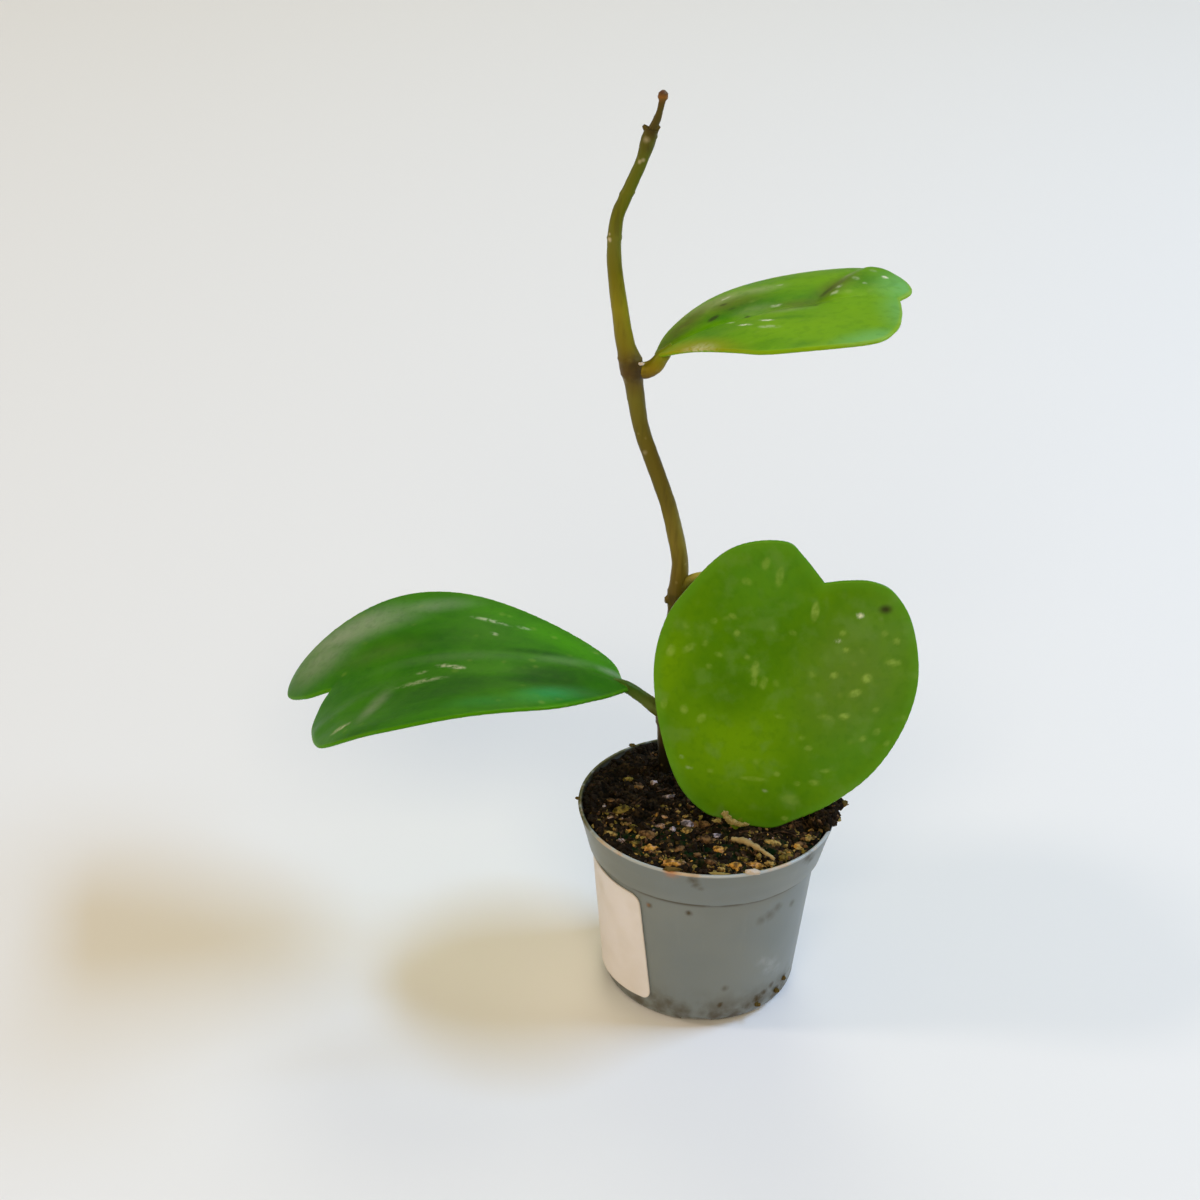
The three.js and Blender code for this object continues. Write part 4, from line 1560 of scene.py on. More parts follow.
    def chips(self) -> Piece:
        """The crumbs that can be told apart, as one mesh.

        Returns:
            The crumbs.
        """
        made = []
        for k, bit in enumerate(self.bits):
            piece = Bench.ball(f"chip_{k}", 3)
            points = Bench.points(piece)
            points *= 1 + 0.5 * roughness_at(points + 7.0 * k, 1.3, 4, 5.0)[:, None]
            turn = math.radians(bit.turn)
            points *= np.array([bit.length / 2, bit.width / 2, bit.width * 0.4])
            x = points[:, 0] * math.cos(turn) - points[:, 1] * math.sin(turn) + bit.x
            y = points[:, 0] * math.sin(turn) + points[:, 1] * math.cos(turn) + bit.y
            z = points[:, 2] + self.height_of(bit.x, bit.y) + self.lift
            Bench.place(piece, np.stack([x, y, z], 1))
            Bench.store(piece, GRAIN, np.full(len(points), bit.grain.value))
            made.append(piece)
        return Bench.join("bark_chips", made)

    def fibres(self) -> Piece:
        """Thin bent strands on the soil, a third of them near the right rim, as one mesh.

        Returns:
            The strands.
        """
        dice = random.Random(self.seed)
        made = []
        thick, thin = self.strand
        for k in range(self.strands):
            right = k % 3 == 0
            r = dice.uniform(22, 27) if right else 26 * math.sqrt(dice.random())
            turn = dice.uniform(-0.6, 0.2) if right else dice.uniform(0, TURN)
            x, y = r * math.cos(turn), r * math.sin(turn)
            way, length = dice.uniform(0, TURN), dice.uniform(2.5, 6.5)
            bend = dice.uniform(-0.8, 0.8)
            path = []
            for s in (0, 0.33, 0.67, 1):
                px = x + length * s * math.cos(way + bend * s)
                py = y + length * s * math.sin(way + bend * s)
                inside = min(1.0, 28.2 / max(math.hypot(px, py), 1e-6))
                px, py = px * inside, py * inside
                height = self.height_of(px, py) + self.lift + 0.5 * math.sin(3 * s)
                path.append((px, py, height, thick - (thick - thin) * s))
            made.append(Bench.tube(f"fibre_{k}", path, 8, 0.7))
        return Bench.join("soil_fibres", made)

    def root_end(self) -> Piece:
        """The dry root end that lies on the soil in front.

        Returns:
            The root end.
        """
        path = [
            (5.4, -15.0, 48.4, 0.45), (8.0, -16.8, 49.1, 0.75), (11.0, -19.1, 49.0, 0.6),
            (14.8, -22.4, 48.3, 0.3),
        ]
        piece = Bench.tube("dry_root_end", path, 12, 0.4)
        points = Bench.points(piece)
        points += roughness_at(points, 1.2, 3, 6.0)[:, None] * np.array([0.16, 0.16, 0.2])
        Bench.place(piece, points)
        return piece

    def build(self) -> None:
        """Makes and dresses the soil and what lies on it."""
        mixed = GrainFinish().material()
        ground = Bench.join("potting_soil", [*self.heap(), self.ground()])
        Bench.finish(ground, PeatFinish().material(), "potting_soil", "soil", angle=80)
        for name, strewn, heap in (
            ("soil_crumbs", self.strewn, False),
            ("spilled_crumbs", self.heaped, True),
        ):
            piece = self.scatter(name, strewn, heap)
            Bench.finish(piece, mixed, "potting_soil", angle=35)
        Bench.finish(self.chips(), mixed, "potting_soil")
        fibres = self.fibres()
        Bench.store(fibres, GRAIN, np.full(len(fibres.data.vertices), Grain.BARK.value))
        Bench.finish(fibres, mixed, "potting_soil")
        dry = EarthFinish("dry_root", paint(150, 128, 84), paint(196, 176, 128), scale=600)
        Bench.finish(self.root_end(), dry.material(), "potting_soil")


STEM_BARK = BarkFinish(
    "olive_stem_bark",
    ramp(
        # Near black at 50 and 55 mm: painted shade at the stem's foot by the soil
        (50.0, 20, 15, 9), (55.0, 34, 26, 12), (60.0, 84, 62, 14), (66.0, 72, 62, 24),
        (92.0, 86, 72, 26), (97.0, 84, 70, 22), (103.0, 104, 88, 26), (110.0, 116, 102, 36),
        (121.0, 92, 80, 20), (131.0, 90, 78, 18), (143.0, 100, 94, 28), (149.0, 80, 58, 28),
        (155.0, 110, 100, 16), (163.0, 124, 117, 20), (171.0, 100, 95, 6), (178.0, 100, 100, 30),
        (184.0, 92, 95, 6), (195.0, 82, 90, 18), (199.5, 78, 78, 18), (203.0, 70, 56, 16),
    ),
    50.0,
    203.0,
    scars=(
        ((-26.8, 20.5, 178.4), 0.6, 0.9), ((-26.9, 20.9, 179.6), 0.4, 0.7),
        ((-20.9, 22.0, 195.6), 0.55, 0.55), ((-20.1, 22.1, 196.0), 0.5, 0.45),
        ((-19.6, 22.4, 200.4), 0.8, 0.35), ((-22.4, 17.6, 147.0), 0.9, 0.25),
        ((-17.4, 14.6, 131.0), 0.7, 0.3),
    ),
    burns=(
        ((-18.9, 22.0, 198.6), 1.3, 0.35), ((-18.5, 22.6, 201.9), 1.5, 0.7),
        ((-20.4, 16.6, 150.8), 3.0, 0.85), ((-18.9, 16.4, 148.6), 2.4, 0.8),
        ((-9.8, 11.0, 96.0), 1.7, 0.6),
    ),
)
DRY_BARK = BarkFinish(
    "dry_shoot_bark",
    ramp(
        (202.0, 62, 52, 20), (206.5, 70, 60, 20), (208.0, 78, 58, 22), (209.3, 122, 78, 30),
        (210.0, 84, 50, 30), (210.5, 92, 62, 52),
    ),
    202.0,
    210.5,
    fleck=paint(170, 120, 50),
)
YOUNG_SKIN = BarkFinish(
    "young_shoot_skin",
    # Paler towards the top: yellow-green young skin with painted light on its upper edge
    ramp((97.0, 80, 70, 20), (101.0, 100, 92, 18), (104.0, 164, 156, 70)),
    97.0,
    104.0,
    fleck=paint(200, 190, 150),
)


@dataclass
class Stem:
    """The climbing stem, its dried tip and its side shoot."""

    path: Path = (
        (-7.5, 13.0, 22.0, 1.2), (-8.4, 13.6, 36.0, 1.8), (-9.6, 14.0, 52.0, 1.8),
        (-10.0, 14.0, 59.5, 1.9), (-10.1, 14.0, 63.0, 2.4), (-10.3, 13.8, 67.0, 1.9),
        (-10.0, 13.0, 79.0, 1.8), (-8.9, 12.6, 92.0, 1.9), (-8.8, 12.5, 96.0, 2.3),
        (-8.5, 12.5, 100.5, 2.1), (-8.5, 12.8, 105.0, 1.9), (-9.5, 13.3, 110.0, 1.9),
        (-11.7, 14.2, 118.3, 1.8), (-15.2, 15.5, 127.5, 1.8), (-18.4, 16.8, 136.0, 1.8),
        (-20.2, 18.4, 145.0, 2.05), (-21.0, 18.9, 149.7, 2.7), (-22.6, 19.6, 155.0, 2.1),
        (-23.9, 20.3, 162.0, 1.85), (-25.5, 21.4, 172.6, 1.65), (-25.7, 21.8, 178.0, 1.55),
        (-25.1, 22.2, 183.5, 1.45), (-23.0, 22.7, 189.0, 1.4), (-20.4, 23.3, 195.4, 1.3),
        (-19.2, 23.8, 199.5, 1.6), (-18.5, 24.0, 202.3, 1.5),
    )
    stumps: tuple[Path, ...] = (
        ((-8.9, 12.5, 95.8, 1.5), (-10.4, 12.2, 95.4, 1.2), (-11.5, 12.0, 95.1, 0.7)),
        ((-18.8, 24.0, 201.3, 1.0), (-19.7, 24.0, 202.4, 0.7), (-20.3, 24.0, 203.0, 0.35)),
        ((-18.4, 24.0, 201.5, 1.0), (-17.5, 24.0, 202.5, 0.7), (-16.9, 24.0, 203.0, 0.35)),
    )
    tip: Path = (
        (-18.4, 24.0, 202.2, 0.95), (-17.5, 24.3, 204.4, 0.85), (-16.9, 24.5, 206.3, 0.7),
        (-16.5, 24.8, 208.2, 0.75), (-16.4, 24.9, 209.0, 1.15), (-16.3, 25.0, 209.9, 1.05),
        (-16.3, 25.0, 210.5, 0.4),
    )
    shoot: Path = (
        (-8.0, 12.5, 97.6, 1.6), (-6.5, 11.4, 100.3, 1.3), (-4.6, 10.0, 102.3, 1.15),
        (-2.2, 8.6, 103.5, 1.1),
    )
    rings: tuple[float, ...] = (61.6, 64.3, 94.6, 97.4, 148.0, 151.6, 178.6, 188.4, 200.6)
    ring_rise: float = 0.16
    ring_width: float = 0.35
    ring_reach: float = 4.0
    sides: int = 40
    step: float = 0.45

    def rod(self) -> Piece:
        """The stem with its leaf scars and fine ridges.

        Returns:
            The stem.
        """
        rod = Bench.tube("stem_rod", self.path, self.sides, self.step)
        extra = [Bench.tube(f"stump_{k}", path, 20, 0.3) for k, path in enumerate(self.stumps)]
        piece = Bench.join("hoya_stem", [*extra, rod])
        Bench.ripple(piece, 0.07)
        points = Bench.points(piece)
        line = np.array([p[:3] for p in curve_points(self.path, self.step)])
        heights = line[:, 2]
        for z in self.rings:
            centre = line[int(np.abs(heights - z).argmin())]
            away = points - centre
            near = np.linalg.norm(away, axis=1) < self.ring_reach
            ring = np.exp(-(((points[:, 2] - z) / self.ring_width) ** 2)) * near
            flat = away * np.array([1, 1, 0.2])
            size = np.maximum(np.linalg.norm(flat, axis=1), 0.3)
            points += self.ring_rise * ring[:, None] * flat / size[:, None]
        Bench.place(piece, points)
        return piece

    def build(self) -> None:
        """Makes and dresses the stem, its tip and its side shoot."""
        Bench.finish(self.rod(), STEM_BARK.material(), "stem_bark", "stem")
        tip = Bench.tube("dried_tip", self.tip, 24, 0.25)
        Bench.ripple(tip, 0.1)
        Bench.finish(tip, DRY_BARK.material(), "dry_shoot", "shoot_tip")
        shoot = Bench.tube("side_shoot_stub", self.shoot, 24, 0.3)
        Bench.ripple(shoot, 0.05)
        Bench.finish(shoot, YOUNG_SKIN.material(), "young_shoot", "side_shoot")


@dataclass(frozen=True)
class Mark:
    """One small marking on a leaf, in leaf millimetres and degrees from its midrib."""

    tint: Tint
    along: float
    across: float
    length: float
    width: float
    turn: float = 0.0
    strength: float = 1.0
    soft: float = 0.6


@dataclass(frozen=True)
class Swell:
    """A low rise or hollow of the blade along a line, from one point to another."""

    start: Pair
    end: Pair
    width: float
    lift: float
    step: bool = False


@dataclass
class Leaf:
    """One thick heart-shaped leaf with its petiole."""

    name: str
    node: str
    slot: str
    finish: LeafFinish
    skin: BarkFinish
    base: Triple
    heading: Triple
    facing: Triple
    length: float
    notch: float
    outline_a: tuple[Pair, ...]
    outline_b: tuple[Pair, ...]
    half_widths: Pair
    bend: float
    droop: float
    twist: float
    cup: Pair
    fold: float
    petiole: Path
    marks: tuple[Mark, ...] = ()
    swells: tuple[Swell, ...] = ()
    midrib: float = 0.25
    middle: float = 1.35
    edge: float = 0.5
    thinning: float = 6.0
    wave: float = 0.28
    rib_width: float = 0.9
    keel: float = 0.7
    keel_width: float = 1.6
    rows: int = 220
    cells: int = 70
    seed: float = 1.0
    reach: Pair = (-0.1, 1.35)
    samples: int = 581

    def margin(self, outline: tuple[Pair, ...], count: int) -> Array:
        """Smooth margin through outline points, to the notch.

        Args:
            outline: The outline points of one side.
            count: How many points are wanted.

        Returns:
            The margin's points, one to a row.
        """
        p = np.array([*outline, (self.notch, 0.0)])
        p = np.vstack([2 * p[0] - p[1], p, 2 * p[-1] - p[-2]])
        place = np.linspace(0, len(p) - 3, count)
        i = np.minimum(place.astype(int), len(p) - 4)
        t = (place - i)[:, None]
        a, b, c, d = p[i], p[i + 1], p[i + 2], p[i + 3]
        return 0.5 * (
            2 * b + (c - a) * t + (2 * a - 5 * b + 4 * c - d) * t**2 + (3 * b - a - 3 * c + d) * t**3
        )

    def plan(self, row: Array, column: Array) -> Array:
        """Flat place of the blade's grid points.

        Args:
            row: 0 at the base to 1 at the notch.
            column: -1 at one margin through 0 at the midrib to 1 at the other.

        Returns:
            Distance along and across the blade, one point to a row.
        """
        fine = np.linspace(0, 1, 4 * self.rows + 1)
        share = np.abs(column)[:, None]
        start = (self.outline_a[0][0] + self.outline_b[0][0]) / 2
        rib = np.stack([start + (self.notch - start) * row, 0 * row], 1)
        sides = []
        for outline in (self.outline_a, self.outline_b):
            edge = self.margin(outline, len(fine))
            sides.append(np.stack([np.interp(row, fine, edge[:, k]) for k in (0, 1)], 1))
        sides[1][:, 1] *= -1
        rim = np.where(column[:, None] < 0, sides[0], sides[1])
        return rib * (1 - share) + rim * share

    def frame(self) -> tuple[Array, Array, Array]:
        """Unit vectors along the leaf, across it and up from it at its base.

        Returns:
            The three vectors.
        """
        h = np.array(self.heading) / np.linalg.norm(self.heading)
        n = np.array(self.facing) - np.dot(self.facing, h) * h
        n = n / np.linalg.norm(n)
        return h, np.cross(n, h), n

    def surface(self, plan: Array) -> tuple[Array, Array]:
        """Bends the flat blade into its shape.

        Args:
            plan: Distance along and across, one point to a row.

        Returns:
            The middle surface's points and the way up at each.
        """
        h, b, n = self.frame()
        u = np.linspace(*self.reach, self.samples)
        slope = self.bend * u + self.droop * u * u
        step = np.diff(u)
        along = np.concatenate([[0], np.cumsum((np.cos(slope[1:]) + np.cos(slope[:-1])) / 2 * step)])
        lift = np.concatenate([[0], np.cumsum((np.sin(slope[1:]) + np.sin(slope[:-1])) / 2 * step)])
        along, lift = along - np.interp(0, u, along), lift - np.interp(0, u, lift)
        at = plan[:, 0] / self.length
        across = plan[:, 1]
        t = np.interp(at, u, slope)[:, None]
        up = -np.sin(t) * h + np.cos(t) * n
        turn = (self.twist * at)[:, None]
        outward = np.cos(turn) * b + np.sin(turn) * up
        upward = -np.sin(turn) * b + np.cos(turn) * up
        half = np.where(across > 0, self.half_widths[0], self.half_widths[1])
        share = np.abs(across) / half
        rise = np.where(across > 0, self.cup[0], self.cup[1]) * half * share**2
        rise = rise + self.fold * half * share**2 / (share + 0.15)
        points = (
            np.array(self.base)
            + (np.interp(at, u, along) * self.length)[:, None] * h
            + (np.interp(at, u, lift) * self.length)[:, None] * n
            + across[:, None] * outward
            + rise[:, None] * upward
        )
        return points, upward

    def rim_distance(self, plan: Array) -> Array:
        """Distance of flat points from the blade's margin, in millimetres.

        Args:
            plan: Distance along and across, one point to a row.

        Returns:
            One distance to a point.
        """
        a = self.margin(self.outline_a, MARGIN_POINTS)
        b = self.margin(self.outline_b, MARGIN_POINTS) * np.array([1, -1])
        ends = np.linspace(a[0], b[0], 30)
        margin = np.vstack([a, b, ends])
        nearest = [
            np.sqrt(((block[:, None] - margin) ** 2).sum(-1).min(1))
            for block in np.array_split(plan, len(plan) // 4000 + 1)
        ]
        return np.concatenate(nearest)

    def thickness(self, distance: Array) -> Array:
        """Half of the thickness at points of the blade, round at the margin.

        Args:
            distance: Their distances from the margin.

        Returns:
            One number to a point.
        """
        near = 1 - np.clip(distance / self.edge, 0, 1)
        inside = np.clip(distance - self.edge, 0, None)
        swell = 1 - np.exp(-inside / self.thinning)
        return self.edge * np.sqrt(1 - near**2) + (self.middle - self.edge) * swell

    def relief(self, plan: Array, distance: Array, face: Face) -> Array:
        """Rise of one face over the smooth blade: midrib, folds and gentle waves.

        Args:
            plan: Distance along and across, one point to a row.
            distance: Distance from the margin.
            face: Which face.

        Returns:
            The rise along the upward direction.
        """
        along, across = plan[:, 0], plan[:, 1]
        fade = smooth(0, 4, distance)
        flat = np.column_stack([plan, np.zeros(len(plan))])
        rise = self.wave * roughness_at(flat, 0.06, 2, self.seed) * fade
        if face is Face.UPPER:
            rib = np.exp(-((across / self.rib_width) ** 2))
            rise = rise - self.midrib * (rib * smooth(self.notch, self.notch * 0.55, along) * fade)
        else:
            keel = np.exp(-((across / self.keel_width) ** 2)) * smooth(self.notch, 0, along)
            rise = rise - self.keel * keel * fade
        for swell in self.swells:
            rise = rise + self.swelling(plan, swell) * smooth(0, 1.5, distance)
        return rise

    def swelling(self, plan: Array, swell: Swell) -> Array:
        """Rise of one swelling at flat points.

        Args:
            plan: Distance along and across, one point to a row.
            swell: The swelling.

        Returns:
            The rise.
        """
        start, end = np.array(swell.start), np.array(swell.end)
        way = end - start
        length = np.linalg.norm(way)
        way = way / length
        beside = (plan - start) @ np.array([way[1], -way[0]])
        run = (plan - start) @ way / length
        inside = smooth(-0.25, 0.25, run) * smooth(1.35, 0.95, run)
        if swell.step:
            shape = smooth(-swell.width, swell.width, beside) * np.exp(
                -((np.clip(beside - swell.width, 0, None) / (5 * swell.width)) ** 2)
            )
        else:
            shape = np.exp(-((beside / swell.width) ** 2))
        return swell.lift * shape * inside

    def tints(self, plan: Array) -> dict[str, Array]:
        """Strength of each kind of marking at flat points.

        Args:
            plan: Distance along and across, one point to a row.

        Returns:
            The strengths by attribute name.
        """
        made = {tint.value: np.zeros(len(plan)) for tint in Tint}
        for mark in self.marks:
            turn = math.radians(mark.turn)
            away = plan - np.array([mark.along, mark.across])
            x = (away[:, 0] * math.cos(turn) + away[:, 1] * math.sin(turn)) / mark.length
            y = (away[:, 1] * math.cos(turn) - away[:, 0] * math.sin(turn)) / mark.width
            inside = smooth(1.0, 1.0 - mark.soft, np.hypot(x, y)) * mark.strength
            made[mark.tint.value] = np.maximum(made[mark.tint.value], inside)
        return made

    def blade(self) -> Piece:
        """The blade: a flat grid doubled into two faces and bent into shape.

        Returns:
            The blade.
        """
        Bench.clear()
        bpy.ops.mesh.primitive_grid_add(
            x_subdivisions=self.rows, y_subdivisions=2 * self.cells, size=1
        )
        piece = Bench.new(self.name)
        Bench.edit(piece)
        bpy.ops.mesh.duplicate()
        bpy.ops.mesh.flip_normals()
        bpy.ops.object.mode_set(mode="OBJECT")
        flat = Bench.read(piece)
        row = flat[:, 0] + 0.5
        column = np.sin(math.pi * flat[:, 1])
        plan = self.plan(row, column)
        half = len(plan) // 2
        top = plan[:half]
        distance = self.rim_distance(top)
        ends = np.minimum(row[:half], 1 - row[:half]) < 1e-6
        distance[np.isclose(np.abs(column[:half]), 1) | ends] = 0
        middle, upward = self.surface(top)
        thick = self.thickness(distance)
        faces = []
        for face in Face:
            rise = face.value * thick + self.relief(top, distance, face)
            faces.append(middle + rise[:, None] * upward)
        Bench.place(piece, np.vstack(faces))
        for name, values in self.tints(top).items():
            Bench.store(piece, name, np.concatenate([values, 0 * values]))
        Bench.store(piece, RIM, np.concatenate([distance, distance]))
        Bench.store(piece, UNDERSIDE, np.concatenate([np.zeros(half), smooth(0, 0.6, distance)]))
        corners = np.empty(len(piece.data.loops), int)
        piece.data.loops.foreach_get("vertex_index", corners)
        chart = piece.data.uv_layers[0] if piece.data.uv_layers else piece.data.uv_layers.new()
        chart.name = CHART
        chart.data.foreach_set("uv", (plan[corners] / 100).astype(np.float32).ravel())
        Bench.close(piece, SEAM_GAP)
        return piece

    def stalk(self) -> Piece:
        """The petiole, a smooth tube that ends inside the blade.

        Returns:
            The petiole.
        """
        piece = Bench.tube(f"{self.name}_petiole", self.petiole, 28, 0.4)
        Bench.ripple(piece, 0.06, 0.7, self.seed, 1.0)
        return piece

    def build(self) -> None:
        """Makes and dresses the leaf with its petiole."""
        stalk = self.stalk()
        stalk.data.materials.append(self.skin.material())
        blade = self.blade()
        blade.data.materials.append(self.finish.material())
        piece = Bench.join(self.name, [stalk, blade])
        Bench.pick(piece)
        bpy.ops.object.shade_smooth_by_angle(angle=math.radians(70))
        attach(piece, "root")
        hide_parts(self.node)
        log.info("%s: %d faces", piece.name, len(piece.data.polygons))


def marks(tint: Tint, soft: float, *rows: tuple[float, ...]) -> tuple[Mark, ...]:
    """Marks of one kind and softness, from rows of along, across, length, width, turn, strength."""
    return tuple(Mark(tint, *row, soft=soft) for row in rows)


HEART_MARKS = (
    # Brighter yellow-green: the large patch at 19, 7 is a painted glow, and the one by the left margin
    # is a painted rim of light
    *marks(
        Tint.LIME, 1.0,
        (19, 7, 19, 20, 0, 1.0), (31, 28, 17, 8, 0, 1.0), (13, 17, 12, 8, 0, 0.55),
        (5, 3, 8, 10, 0, 0.4),
    ),
    # Darker green, partly painted shade
    *marks(
        Tint.SHADE, 1.0,
        (30, 12, 10, 12, 0, 0.7), (46, 8, 14, 14, 0, 0.35), (36, -21, 16, 7, 0, 0.3),
    ),
    *marks(
        Tint.OLIVE, 1.0,
        (42, -12, 26, 18, 0, 0.85),
    ),
    # Grey bloom and painted sheen
    *marks(
        Tint.GREY, 1.0,
        (46, -16, 22, 14, 0, 0.4), (9.5, -9, 3.5, 2.8, 0, 0.3), (47.7, 7.7, 1.0, 1.1, 0, 0.6),
        (57.0, -14.6, 1.0, 1.2, 0, 0.8),
    ),
    # Painted bluish sheen on the right side and at the top
    *marks(
        Tint.TEAL, 1.0,
        (60, 13, 18, 17, 0, 0.75), (27, -19, 20, 12, -30, 0.55), (56, -16, 14, 12, 0, 0.5),
    ),
    *marks(
        Tint.DARK, 0.9,
        (59.4, -14.8, 1.6, 2.3, 15, 0.95),
    ),
    *marks(
        Tint.CHALK, 0.8,
        (56.4, -9.8, 0.8, 1.3, 0, 0.95),
    ),
    *marks(
        Tint.CHALK, 0.9,
        (49.3, -7.1, 0.5, 1.1, 0, 0.5),
    ),
    *marks(
        Tint.CHALK, 1.0,
        (10.0, -3.0, 0.6, 1.0, 0, 0.25), (10.0, 15.2, 0.6, 1.3, 0, 0.25),
        (11.9, 17.7, 0.6, 0.9, 0, 0.25),
    ),
    *marks(
        Tint.PALE, 0.6,
        (61.5, 14.0, 2.0, 1.2, 0, 0.4), (59.6, 10.1, 3.0, 1.2, 8, 0.45),
        (56.2, 16.7, 1.1, 1.6, 0, 0.35), (54.2, 0.0, 3.0, 1.2, 10, 0.7),
        (48.0, 3.1, 0.9, 1.2, 0, 0.3), (51.4, -7.5, 0.9, 1.0, 0, 0.5),
        (47.8, -9.5, 0.7, 1.1, 0, 0.65), (48.0, -20.6, 0.9, 2.3, 12, 0.7),
        (54.0, -16.5, 0.9, 1.1, 0, 0.35), (53.0, -19.7, 0.9, 1.2, 0, 0.5),
        (42.8, -16.2, 1.4, 1.4, 30, 0.85), (41.3, -8.9, 1.0, 1.2, 0, 0.7),
        (40.0, -4.1, 1.0, 1.3, 0, 0.35), (38.6, -14.8, 1.2, 1.8, 35, 0.8),
        (32.6, -14.3, 1.0, 1.5, 15, 0.8), (31.1, -10.2, 0.8, 2.2, 10, 0.4),
        (28.2, -0.3, 0.7, 1.5, 0, 0.35), (37.0, 8.4, 3.2, 1.1, 10, 0.6),
        (34.2, 7.7, 1.4, 0.9, 0, 0.4), (34.7, 5.5, 2.0, 1.0, 0, 0.5),
        (36.1, -20.7, 0.9, 1.0, 0, 0.35), (31.1, -22.7, 1.3, 1.1, 0, 0.45),
        (28.6, -20.2, 1.0, 1.0, 0, 0.5), (29.0, -25.9, 1.1, 0.9, 0, 0.35),
        (18.7, -14.5, 0.7, 1.4, 12, 0.5), (22.9, -9.0, 1.0, 1.1, 0, 0.5),
        (24.8, -6.9, 0.8, 0.8, 0, 0.35), (14.7, -4.3, 0.9, 1.0, 0, 0.4),
        (13.8, -9.4, 0.9, 1.0, 0, 0.4), (15.2, -13.1, 1.0, 1.6, 0, 0.45),
        (12.0, 0.3, 0.7, 4.2, 12, 0.4), (9.7, -9.4, 1.6, 3.0, 10, 0.22),
        (4.8, -9.6, 0.8, 1.1, 0, 0.5), (44.1, 15.0, 1.1, 1.0, 0, 0.5),
        (47.6, 17.1, 0.9, 1.3, 0, 0.45), (45.2, 20.7, 0.9, 1.0, 0, 0.35),
        (38.1, 17.3, 0.8, 1.1, 0, 0.35), (39.6, 11.1, 0.9, 0.9, 0, 0.35),
        (39.6, 21.0, 1.1, 1.0, 0, 0.35), (35.3, 27.7, 1.9, 1.3, 0, 0.55),
        (37.3, 24.1, 2.4, 1.0, -35, 0.45), (34.7, 18.5, 0.9, 1.0, 0, 0.3),
        (22.8, 25.3, 1.5, 1.0, 0, 0.4), (23.1, 20.6, 1.4, 1.2, 30, 0.5),
        (22.3, 16.3, 1.7, 1.1, -20, 0.6), (10.8, 10.4, 0.7, 1.0, 0, 0.3),
    ),
)

LEFT_MARKS = (
    *marks(
        Tint.LIME, 1.0,
        (16, -10.5, 19, 7, -24, 0.95), (34, -19, 15, 6, -20, 0.5), (44, 30, 24, 3.5, 6, 0.4),
    ),
    # Painted shade: the dark band beside the midrib, the dark pool and the darker lower margin
    *marks(
        Tint.SHADE, 1.0,
        (22, -2.8, 12, 2.4, 6, 0.8), (19, 7.8, 18, 8.5, 28, 1.0), (40, 16, 30, 9, 8, 0.5),
        (44, -8, 26, 8, 0, 0.4), (61, 30, 17, 4.5, 0, 0.5),
    ),
    # Painted bluish-green gloss beside the dark pool
    *marks(
        Tint.TEAL, 1.0,
        (16.5, 16.2, 16, 5.5, 37, 1.0), (32, 25, 12, 4, 10, 0.35),
    ),
    # Painted grey sheen on the far lobe, on the lower lobe and along the midrib, and grey bloom at the
    # base
    *marks(
        Tint.GREY, 1.0,
        (68, -20, 24, 10, 0, 0.85), (76, -15, 15, 12, 0, 0.65), (50, -22, 16, 5.0, 4, 0.45),
        (58, 18.5, 10, 3.6, 62, 0.5), (4, -2.4, 7, 2.6, 0, 0.5), (16, -1.0, 14, 3.2, 12, 0.2),
        (40, 1.6, 30, 3.4, 3, 0.14),
    ),
    *marks(
        Tint.OLIVE, 1.0,
        (60, -6, 18, 8, 0, 0.35),
    ),
    # Pale scars; the streak at 66.2, 23 is a painted highlight at the lobe tip
    *marks(
        Tint.CHALK, 1.0,
        (34.5, -14.7, 6.4, 0.9, -16.5, 0.7), (47.4, 12.2, 8.0, 1.2, 9, 0.45),
        (66.2, 23.0, 3.8, 1.3, 7, 0.7),
    ),
    *marks(
        Tint.CHALK, 0.6,
        (26.5, -13.3, 1.9, 0.7, -5, 0.4), (33.0, -9.1, 1.1, 0.8, 0, 0.4),
        (41.7, 6.2, 3.8, 0.8, -16, 0.65), (39.0, 7.1, 1.6, 0.8, 0, 0.7),
        (47.9, 7.8, 1.7, 0.9, 0, 0.3),
    ),
)

